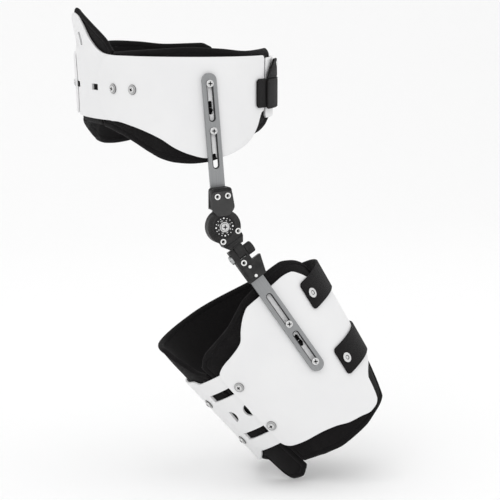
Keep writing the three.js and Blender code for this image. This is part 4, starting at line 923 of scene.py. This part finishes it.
def makeScrews():
    model = crossScrew("bar", 4.2)
    shadow = crossFaces(model, "bar")
    for end, place, body in (("upper", upperPlace, "pelvis"), ("lower", lowerPlace, "thigh_cuff")):
        for i, up in enumerate(barScrews[end]):
            node = end + "_bar_screw_" + str(i + 1)
            screw = seatedOn(copyOf(model), place, (0, barScrews["seat"], up))
            brightPiece(screw, node.replace("_", ""), body, shadow, node)
    bpy.data.objects.remove(model)
    centre = crossScrew("centre", 15.5)
    shadow = crossFaces(centre, "centre")
    seatedAt(centre, upperPlace @ Vector((0, dialSize["screwSeat"], 0)), outward)
    brightPiece(centre, "hingeCentreScrew", "upper_upright", shadow, "hinge_centre_screw")

    spots = []
    for side, sign in (("right", 1), ("left", -1)):
        for where, angle in zip(("rear", "front"), panelScrews["angles"]):
            node = side + "_" + where + "_panel_screw"
            spots.append((node, onBand, sign * angle, panelScrews["height"], 0, "pelvis"))
    for i in (0, 1):
        for side, on in (("right", 0), ("left", under)):
            angle, levels = cuffScrews[side]
            spots.append((side + "_cuff_screw_" + str(i + 1), onCuff, angle, -levels[i], on, "thigh_cuff"))
    model = crossScrew("panel", 3.2, panelLift)
    shadow = crossFaces(model, "panel", panelLift)
    washerModel = spunRing(roundedRing(*ringProfiles["washer"]), 48)
    # painted shade on the washer's bore and outer rim, an outline where light doesn't reach
    rim = facesWhere(washerModel, lambda spot, normal: not 4.0 < math.hypot(spot.x, spot.y) < 5.8)
    for node, form, angle, height, on, body in spots:
        normal = normalOn(form, angle, height)
        seat = form(angle, height, 0) + normal * (layer["seat"] + on)
        brightPiece(seatedAt(copyOf(model), seat, normal), node.replace("_", ""), body, shadow, node)
        washer = seatedAt(copyOf(washerModel), seat, normal)
        done(washer, node.replace("_", "") + "Washer", "washerGrey", body)
        tinted(washer, "paintedShadeMetal", rim)
    bpy.data.objects.remove(washerModel)
    bpy.data.objects.remove(model)

    model = spunRing(roundedRing(*ringProfiles["rivet"]), 48)
    # painted shade on the inner lip of the rivet collar, round the pin
    rim = facesWhere(model, lambda spot, normal: math.hypot(spot.x, spot.y) < 3.2)
    for name, strap in thighStraps.items():
        spot = (strap["rivet"], -strap["level"])
        normal = normalOn(onCuff, *spot)
        seat = onCuff(*spot, 0) + normal * (layer["gap"] + layer["webbing"] + layer["seat"])
        collar = seatedAt(copyOf(model), seat, normal)
        brightPiece(collar, name + "StrapRivetCollar", "thigh_cuff", rim, name + "_strap_rivet")
        pin = disc(2.1, 1.6, (0, 0, 0.2), "Z", 32)
        pickFaces(pin, lambda spot, normal: normal.z > 0.9)
        bpy.ops.mesh.inset(thickness=0.7 * mm, depth=0)
        bpy.ops.transform.translate(value=(0, 0, -0.5 * mm))
        editDone()
        seatedAt(pin, seat, normal)
        done(pin, name + "StrapRivetPin", "brightSteel", "thigh_cuff")
    bpy.data.objects.remove(model)


# slotted bars: a flat blank with a round end, slots milled through a shallow ledge
barSize = {"width": 17.5, "thick": 3.2, "slot": 6, "ledge": 1.1, "ledgeDepth": 0.9, "hingeEnd": 15}
upperBar = {"joint": 0, "tip": 168.25, "slots": [(122, 168), (67.5, 113.5)]}
lowerBar = {"joint": -8, "tip": -159.25, "slots": [(-159, -113), (-104.5, -58.5)]}
centreBore = 3.3


def barUv(piece):
    sheet = piece.data.uv_layers.get("flat") or piece.data.uv_layers.new(name="flat")
    for loop in piece.data.loops:
        spot = piece.data.vertices[loop.vertex_index].co
        sheet.data[loop.index].uv = (spot.x + spot.y, spot.z)


def milledBar(size, ends=(), bores=()):
    half, face = barSize["width"] / 2, -barSize["thick"] / 2
    joint, tip = size["joint"], size["tip"]
    bar = block((barSize["width"], barSize["thick"], abs(tip - joint)), (0, 0, (joint + tip) / 2))
    cutWith(bar, [disc(half, barSize["thick"], (0, 0, tip), sides=96), *ends], "UNION")
    cutWith(bar, [slotCut(low, high) for low, high in size["slots"]] + [*bores])
    ledge, wide = barSize["ledge"], barSize["slot"] / 2 + barSize["ledge"]
    for low, high in size["slots"]:
        cutWith(bar, [slotCut(low - ledge, high + ledge, wide, 2 * barSize["ledgeDepth"], face)])
    softEdges(bar, 0.4, 3)

    # the slots' walls and ledge floor get painted shade, standing in for the shade inside the slots
    def inSlot(spot, normal):
        inside = any(low - 1.2 < spot.z < high + 1.2 for low, high in size["slots"])
        deep = abs(spot.x) < wide - 0.05 and face + 0.5 < spot.y < -face - 0.1
        return inside and deep and (abs(normal.y) < 0.6 or spot.y < 0)

    dark = facesWhere(bar, inSlot)
    barUv(bar)
    return bar, dark


def makeBars():
    upper, dark = milledBar(upperBar, [disc(barSize["hingeEnd"], barSize["thick"], sides=120)],
                            [disc(centreBore, 12, sides=40)])
    placed(upper, upperPlace)
    done(upper, "upperBar", "satinBar", "upper_upright", "upper_bar")
    tinted(upper, "paintedShadeMetal", dark)

    lower, dark = milledBar(lowerBar)
    placed(lower, lowerPlace)
    done(lower, "lowerBar", "satinBar", "lower_upright", "lower_bar")
    tinted(lower, "paintedShadeMetal", dark)


# hinge housing: a block behind, and a thinner shield in front whose tongue comes down over the dial
bracket = {"top": 45.5, "coverTop": 41.5, "bottom": 21.5, "tip": 13, "width": 24, "shoulder": 28, "tipWidth": 14.5,
           "back": -1.9, "plateFace": -14.2, "coverFace": -15.7, "chamfer": 3, "waistCurve": 2.5, "tipCurve": 3}
# the recess along the top of the housing, and the step down its rear side, as size and middle
bracketCuts = [((18, 1.6, 2.4), (0, -14.2, 43.4)), ((1.2, 5, 15), (-13.3, -8, 31)),
               ((19, 3.4, 1.4), (0, -6, 45.5))]


# the edges that run front to back at one height, some way out from the middle
def pickLongEdges(piece, out, fits):
    pickEdges(piece, lambda a, b: (abs(a.x - b.x) < 1e-6 and abs(a.z - b.z) < 1e-6
                                   and abs(a.x) > out * mm and fits(a.z)))


def makeBracket():
    size = bracket
    narrow = size["width"] / size["shoulder"]
    deep = size["back"] - size["plateFace"]
    tall = size["top"] - size["bottom"]
    body = block((size["shoulder"], deep, tall), (0, size["back"] - deep / 2, size["bottom"] + tall / 2))
    thin = size["plateFace"] - size["coverFace"]
    tall = size["coverTop"] - size["bottom"]
    cover = block((size["shoulder"], thin, tall), (0, size["plateFace"] - thin / 2, size["bottom"] + tall / 2))
    for piece, top in ((body, size["top"]), (cover, size["coverTop"])):
        narrowEnd(piece, (0, 0, 1), narrow)
        pickLongEdges(piece, 0, lambda height: height > (top - 0.5) * mm)
        bpy.ops.mesh.bevel(offset=size["chamfer"] * mm, segments=3, affect="EDGES")
        editDone()
    pickFaces(cover, lambda spot, normal: normal.z < -0.9)
    down = (size["tip"] - size["bottom"]) * mm
    bpy.ops.mesh.extrude_region_move(TRANSFORM_OT_translate={"value": (0, 0, down)})
    bpy.ops.transform.resize(value=(size["tipWidth"] / size["shoulder"], 1, 1))
    editDone()
    for corner, offset in ((size["bottom"], size["waistCurve"]), (size["tip"], size["tipCurve"])):
        pickLongEdges(cover, 5, lambda height: abs(height - corner * mm) < 1e-5)
        bpy.ops.mesh.bevel(offset=offset * mm, segments=5, affect="EDGES")
        editDone()
    pair = eyeletPairs["bracket"]
    for x in (-pair["x"], pair["x"]):
        cutWith(cover, [disc(ringSizes["through"], 8, (x, size["coverFace"], pair["up"]), sides=40)])
        cutWith(body, [disc(ringSizes["through"], 6, (x, size["plateFace"], pair["up"]), sides=40)])
    cutWith(body, [block(*cut) for cut in bracketCuts])
    softEdges(body, 0.5, 3)
    softEdges(cover, 0.4, 3)
    placed(body, upperPlace)
    placed(cover, upperPlace)
    # the shield's paler grey is painted light on the front face of the black housing
    done(body, "hingeBracketBody", "grainedBlack", "upper_upright", "hinge_bracket")
    done(cover, "hingeBracketCover", "coverGrey", "upper_upright")


dialSize = {"radius": 12.8, "thick": 2.2, "face": -13.9, "screwSeat": -14.2, "border": 0.9, "field": 4.6,
            "slopes": (0.5, 0.4), "sunk": 0.35, "ring": 10.2, "dots": 16, "dot": 0.55, "main": 0.95, "text": 2.3,
            "textRing": 7.4, "numbers": ("0", "15", "30", "45", "60", "75", "90", "105")}


def makeDial():
    face = dialSize["face"]
    dial = disc(dialSize["radius"], dialSize["thick"], (0, face + dialSize["thick"] / 2, 0), sides=96)
    pickFaces(dial, lambda spot, normal: normal.y < -0.9)
    for width, slope, shift in zip((dialSize["border"], dialSize["field"]), dialSize["slopes"],
                                   (dialSize["sunk"], -dialSize["sunk"])):
        bpy.ops.mesh.inset(thickness=width * mm, depth=0)
        bpy.ops.mesh.inset(thickness=slope * mm, depth=0)
        bpy.ops.transform.translate(value=(0, shift * mm, 0))
    editDone()
    cutWith(dial, [disc(centreBore, 12, (0, face, 0), sides=40)])
    softEdges(dial, 0.25, 2, 50)
    placed(dial, upperPlace)
    done(dial, "hingeDial", "dialBlack", "upper_upright", "hinge_dial", angle=30)
    collar = seatedAt(spunRing(roundedRing(*ringProfiles["dial"]), 48),
                      upperPlace @ Vector((0, face - 0.02, 0)), outward)
    done(collar, "hingeScrewCollar", "brightSteel", "upper_upright")

    # dots round the dial, with plain numbers of degrees inside them
    for i in range(dialSize["dots"]):
        turn = math.radians(i * 360 / dialSize["dots"])
        radius = dialSize["dot"] if i % 4 else dialSize["main"]
        spot = (dialSize["ring"] * math.sin(turn), face + 0.2, dialSize["ring"] * math.cos(turn))
        dot = disc(radius, 0.4, spot, sides=20)
        softEdges(dot, 0.08, 1, 50)
        placed(dot, upperPlace)
        done(dot, "dialMark" + str(i + 1), "whiteMark", "upper_upright")
    stand = turned(90, "X")
    for i, text in enumerate(dialSize["numbers"]):
        spin = turned(22.5 + i * 360 / len(dialSize["numbers"]), "Y")
        bpy.ops.object.text_add(location=(0, 0, 0))
        label = bpy.context.object
        label.data.body = text
        label.data.size = dialSize["text"] * mm
        label.data.align_x = "CENTER"
        label.data.align_y = "CENTER"
        label.data.extrude = 0.06 * mm
        only(label)
        bpy.ops.object.convert(target="MESH")
        label = bpy.context.object
        placed(label, upperPlace @ spin @ Matrix.Translation((0, face + 0.28, dialSize["textRing"])) @ stand)
        done(label, "dialNumber" + text, "whiteMark", "upper_upright")


plateSize = {"radius": 20, "thick": 12, "back": -1.9, "face": -13.9, "pocket": 13.1, "pocketDepth": 2.5,
             "width": 27, "reach": 27.5, "shoulder": 0.75, "foot": 18, "ribs": 14, "ribFrom": -121, "ribPitch": 9,
             "rib": (1.0, 1.2, 3.2), "ribRing": 16.4, "steps": [((30, 1.6, 1.0), -20.4), ((11, 1.2, 3.6), -24.6)]}
lug = {"radius": 5, "width": 9, "depth": 10, "height": 13.5, "middle": -33.25, "bore": 2.3}


def makeHingePlate():
    size = plateSize
    face, middle = size["face"], (size["back"] + size["face"]) / 2
    plate = disc(size["radius"], size["thick"], (0, middle, 0), sides=120)
    low = size["reach"] * size["shoulder"]
    waist = block((size["width"], size["thick"], low + 0.05), (0, middle, -low / 2))
    foot = block((size["width"], size["thick"], size["reach"] - low), (0, middle, -(size["reach"] + low) / 2))
    narrowEnd(foot, (0, 0, -1), size["foot"] / size["width"])
    cutWith(plate, [waist, foot], "UNION")
    cutWith(plate, [disc(size["pocket"], 2 * size["pocketDepth"], (0, face, 0), sides=96),
                    disc(centreBore, 40, sides=40)])
    # short ribs behind the dial, and two steps above the neck
    for i in range(size["ribs"]):
        rib = block(size["rib"], (0, 0, size["ribRing"]))
        placed(rib, Matrix.Translation((0, face, 0)) @ turned(size["ribFrom"] + i * size["ribPitch"], "Y"))
        cutWith(plate, [rib])
    pair = eyeletPairs["plate"]
    for x in (-pair["x"], pair["x"]):
        cutWith(plate, [disc(ringSizes["through"], 12, (x, face, pair["up"]), sides=40)])
    cutWith(plate, [block(cut, (0, face, height)) for cut, height in size["steps"]])
    softEdges(plate, 0.6, 3, 45)
    placed(plate, platePlace)
    done(plate, "hingePlate", "grainedBlack", "hinge_plate", "hinge_plate")

    axis = (0, -hinge["pivotOut"], -hinge["pivotDrop"])
    stem = block((lug["width"], lug["depth"], lug["height"]), (0, axis[1], lug["middle"]))
    cutWith(stem, [disc(lug["radius"], lug["width"], axis, "X", 64)], "UNION")
    cutWith(stem, [disc(lug["bore"], 20, axis, "X", 40)])
    softEdges(stem, 0.4, 2, 45)
    placed(stem, platePlace)
    done(stem, "abductionLug", "grainedBlack", "hinge_plate")


lowBlock = {"width": 24, "thick": 10, "top": 10, "reach": 34.5, "back": -1.9, "face": -11.9, "lug": 4.8,
            "pocket": 5.8, "cheek": 2.2, "shoulder": (18.5, 12.5), "foot": 11.4}
# lines round the panel that carries the studs: size, place in x, height
blockLines = [((0.7, 1.0, 17), -9.4, -23), ((15, 0.9, 0.7), -1.8, -15)]
knobSize = {"radius": 7, "length": 9.5, "rim": 1.5, "grips": 20, "grip": 0.75, "gripLength": 6.4, "gripAt": 4.3,
            "gripRing": 7.25, "dish": 4.6, "dishDepth": 1.4}
pinSize = {"head": 5.5, "headLength": 2.5, "headAt": -13.55, "rim": 1.1, "shank": 2, "behind": 12.3,
           "slot": (1.6, 7, 1.1), "slotAt": -14.8}


def makeBlock():
    size = lowBlock
    half, middle, axis = size["width"] / 2, (size["back"] + size["face"]) / 2, -hinge["pivotOut"]
    ear = size["lug"] + size["cheek"]
    blockBody = block((size["width"], size["thick"], size["top"] + size["reach"]),
                      (0, middle, (size["top"] - size["reach"]) / 2))
    narrowEnd(blockBody, (0, 0, -1), size["foot"] / half)
    # the shoulder in front, under the knob
    forward, down = size["shoulder"]
    wing = block((forward, size["thick"], size["reach"] - down),
                 (forward / 2, middle, -(size["reach"] + down) / 2))
    narrowEnd(wing, (0, 0, -1), 0.5, size["foot"] - 0.75 * forward)
    cutWith(blockBody, [wing], "UNION")
    tall = size["top"] + 2
    cutWith(blockBody, [
        block((2 * size["lug"], 30, tall + size["pocket"]), (0, middle, (tall - size["pocket"]) / 2)),
        block((10, 30, tall + down), (ear + 5, middle, (tall - down) / 2)),
        disc(lug["bore"], 40, (0, axis, 0), "X", 40),
        disc(ringSizes["through"], 8, (blockEyelet[0], size["face"], blockEyelet[2]), sides=40)])
    cutWith(blockBody, [block(cut, (x, size["face"], height)) for cut, x, height in blockLines])
    softEdges(blockBody, 0.6, 3, 45)
    placed(blockBody, lowerPlace)
    done(blockBody, "lowerBlock", "grainedBlack", "lower_upright", "lower_block")

    # knob with a ribbed grip, on the front end of the pin
    size, start = knobSize, ear + 0.6
    knob = disc(size["radius"], size["length"], (start + size["length"] / 2, axis, 0), "X", 96)
    roundEnd(knob, (1, 0, 0), size["rim"], 4)
    grips = []
    for i in range(size["grips"]):
        turn = math.radians(i * 360 / size["grips"])
        spot = (start + size["gripAt"], axis + size["gripRing"] * math.sin(turn),
                size["gripRing"] * math.cos(turn))
        grips.append(disc(size["grip"], size["gripLength"], spot, "X", 16))
    cutWith(knob, grips)
    cutWith(knob, [disc(size["dish"], size["dishDepth"], (start + size["length"], axis, 0), "X", 48)])
    softEdges(knob, 0.25, 2, 45)
    placed(knob, lowerPlace)
    done(knob, "abductionKnob", "grainedBlack", "lower_upright", "abduction_knob")

    size, tail = pinSize, ear + 0.3
    pin = disc(size["head"], size["headLength"], (size["headAt"], axis, 0), "X", 48)
    roundEnd(pin, (-1, 0, 0), size["rim"], 4)
    shank = disc(size["shank"], tail + size["behind"], ((tail - size["behind"]) / 2, axis, 0), "X", 40)
    cutWith(pin, [shank], "UNION")
    cutWith(pin, [block(size["slot"], (size["slotAt"], axis, 0))])
    # painted shade on the shank, where it runs into the block
    shadow = facesWhere(pin, lambda spot, normal: spot.x > -12)
    placed(pin, lowerPlace)
    done(pin, "abductionPin", "dullSteel", "lower_upright", "abduction_pin")
    tinted(pin, "paintedShadeMetal", shadow)


# the ring near the tip of the finger tab, with a barrel through the webbing
def makeTabRing():
    normal = normalOn(onBand, *tabRingSpot)
    seat = onBand(*tabRingSpot, 0) + normal * (layer["gap"] + 2 * layer["webbing"] + layer["seat"])
    ring = spunRing(roundedRing(*ringProfiles["tab"]), 40)
    cutWith(ring, [spunRing([(1.6, -2.3), (2.2, -2.3), (2.2, 0.4), (1.6, 0.4)])], "UNION")
    seatedAt(ring, seat, normal)
    done(ring, "bellyStrapRing", "brightSteel", "pelvis", "belly_strap_ring")


makeBars()
print("bars milled")
makeBracket()
makeDial()
makeHingePlate()
makeBlock()
print("hinge built")
makeEyelets()
makeScrews()
makeTabRing()
print("fasteners set")

# floor, light and camera
studio = {"under": 0.003, "camera": (-0.6916, -2.1765, 0.1207), "target": (0.0874, -0.0362, -0.1994),
          "lens": 132.7, "world": 0.97, "litSpot": (0.05, 0, -0.2),
          "lights": (("keyLight", (-1.5, -2.4, 1.9), 1.8, 11), ("fillLight", (2.4, -1.6, 1.0), 2.4, 2),
                     ("topLight", (0.2, 0.6, 2.6), 2.0, 8))}


def aimed(thing, spot, target):
    thing.rotation_euler = (Vector(target) - Vector(spot)).to_track_quat("-Z", "Y").to_euler()


def makeStudio():
    floor = cadBox[0][2] - studio["under"]
    bpy.ops.mesh.primitive_plane_add(size=12, location=(0, -1, floor))
    sweep = bpy.context.object
    bpy.ops.object.transform_apply(location=True, rotation=True, scale=True)
    pickEdges(sweep, lambda a, b: a.y > 4.9 and b.y > 4.9)
    bpy.ops.mesh.extrude_region_move(TRANSFORM_OT_translate={"value": (0, 0, 8)})
    editDone()
    pickEdges(sweep, lambda a, b: a.y > 4.9 and b.y > 4.9 and a.z < 0 and b.z < 0)
    bpy.ops.mesh.bevel(offset=3, segments=24, affect="EDGES")
    editDone()
    smooth(sweep, 60)
    sweep.name = "studioSweep"
    newFinish("paleSweep", (0.95, 0.95, 0.95), 0.95, Specular_IOR_Level=0.1)
    sweep.data.materials.append(finishes["paleSweep"])
    world = bpy.data.worlds.new("studioWorld")
    bpy.context.scene.world = world
    world.use_nodes = True
    backdrop = world.node_tree.nodes["Background"]
    backdrop.inputs["Color"].default_value = (1, 1, 1, 1)
    backdrop.inputs["Strength"].default_value = studio["world"]
    for name, spot, size, power in studio["lights"]:
        bpy.ops.object.light_add(type="AREA", location=spot)
        light = bpy.context.object
        light.name = name
        light.data.size = size
        light.data.energy = power
        aimed(light, spot, studio["litSpot"])
    bpy.ops.object.camera_add(location=studio["camera"])
    camera = bpy.context.object
    camera.name = "photoCamera"
    camera.data.lens = studio["lens"]
    camera.data.sensor_width = 36
    aimed(camera, studio["camera"], studio["target"])
    bpy.context.scene.camera = camera
    bpy.context.scene.view_settings.view_transform = "Standard"


makeStudio()
print("studio set")

bpy.ops.object.select_all(action="DESELECT")
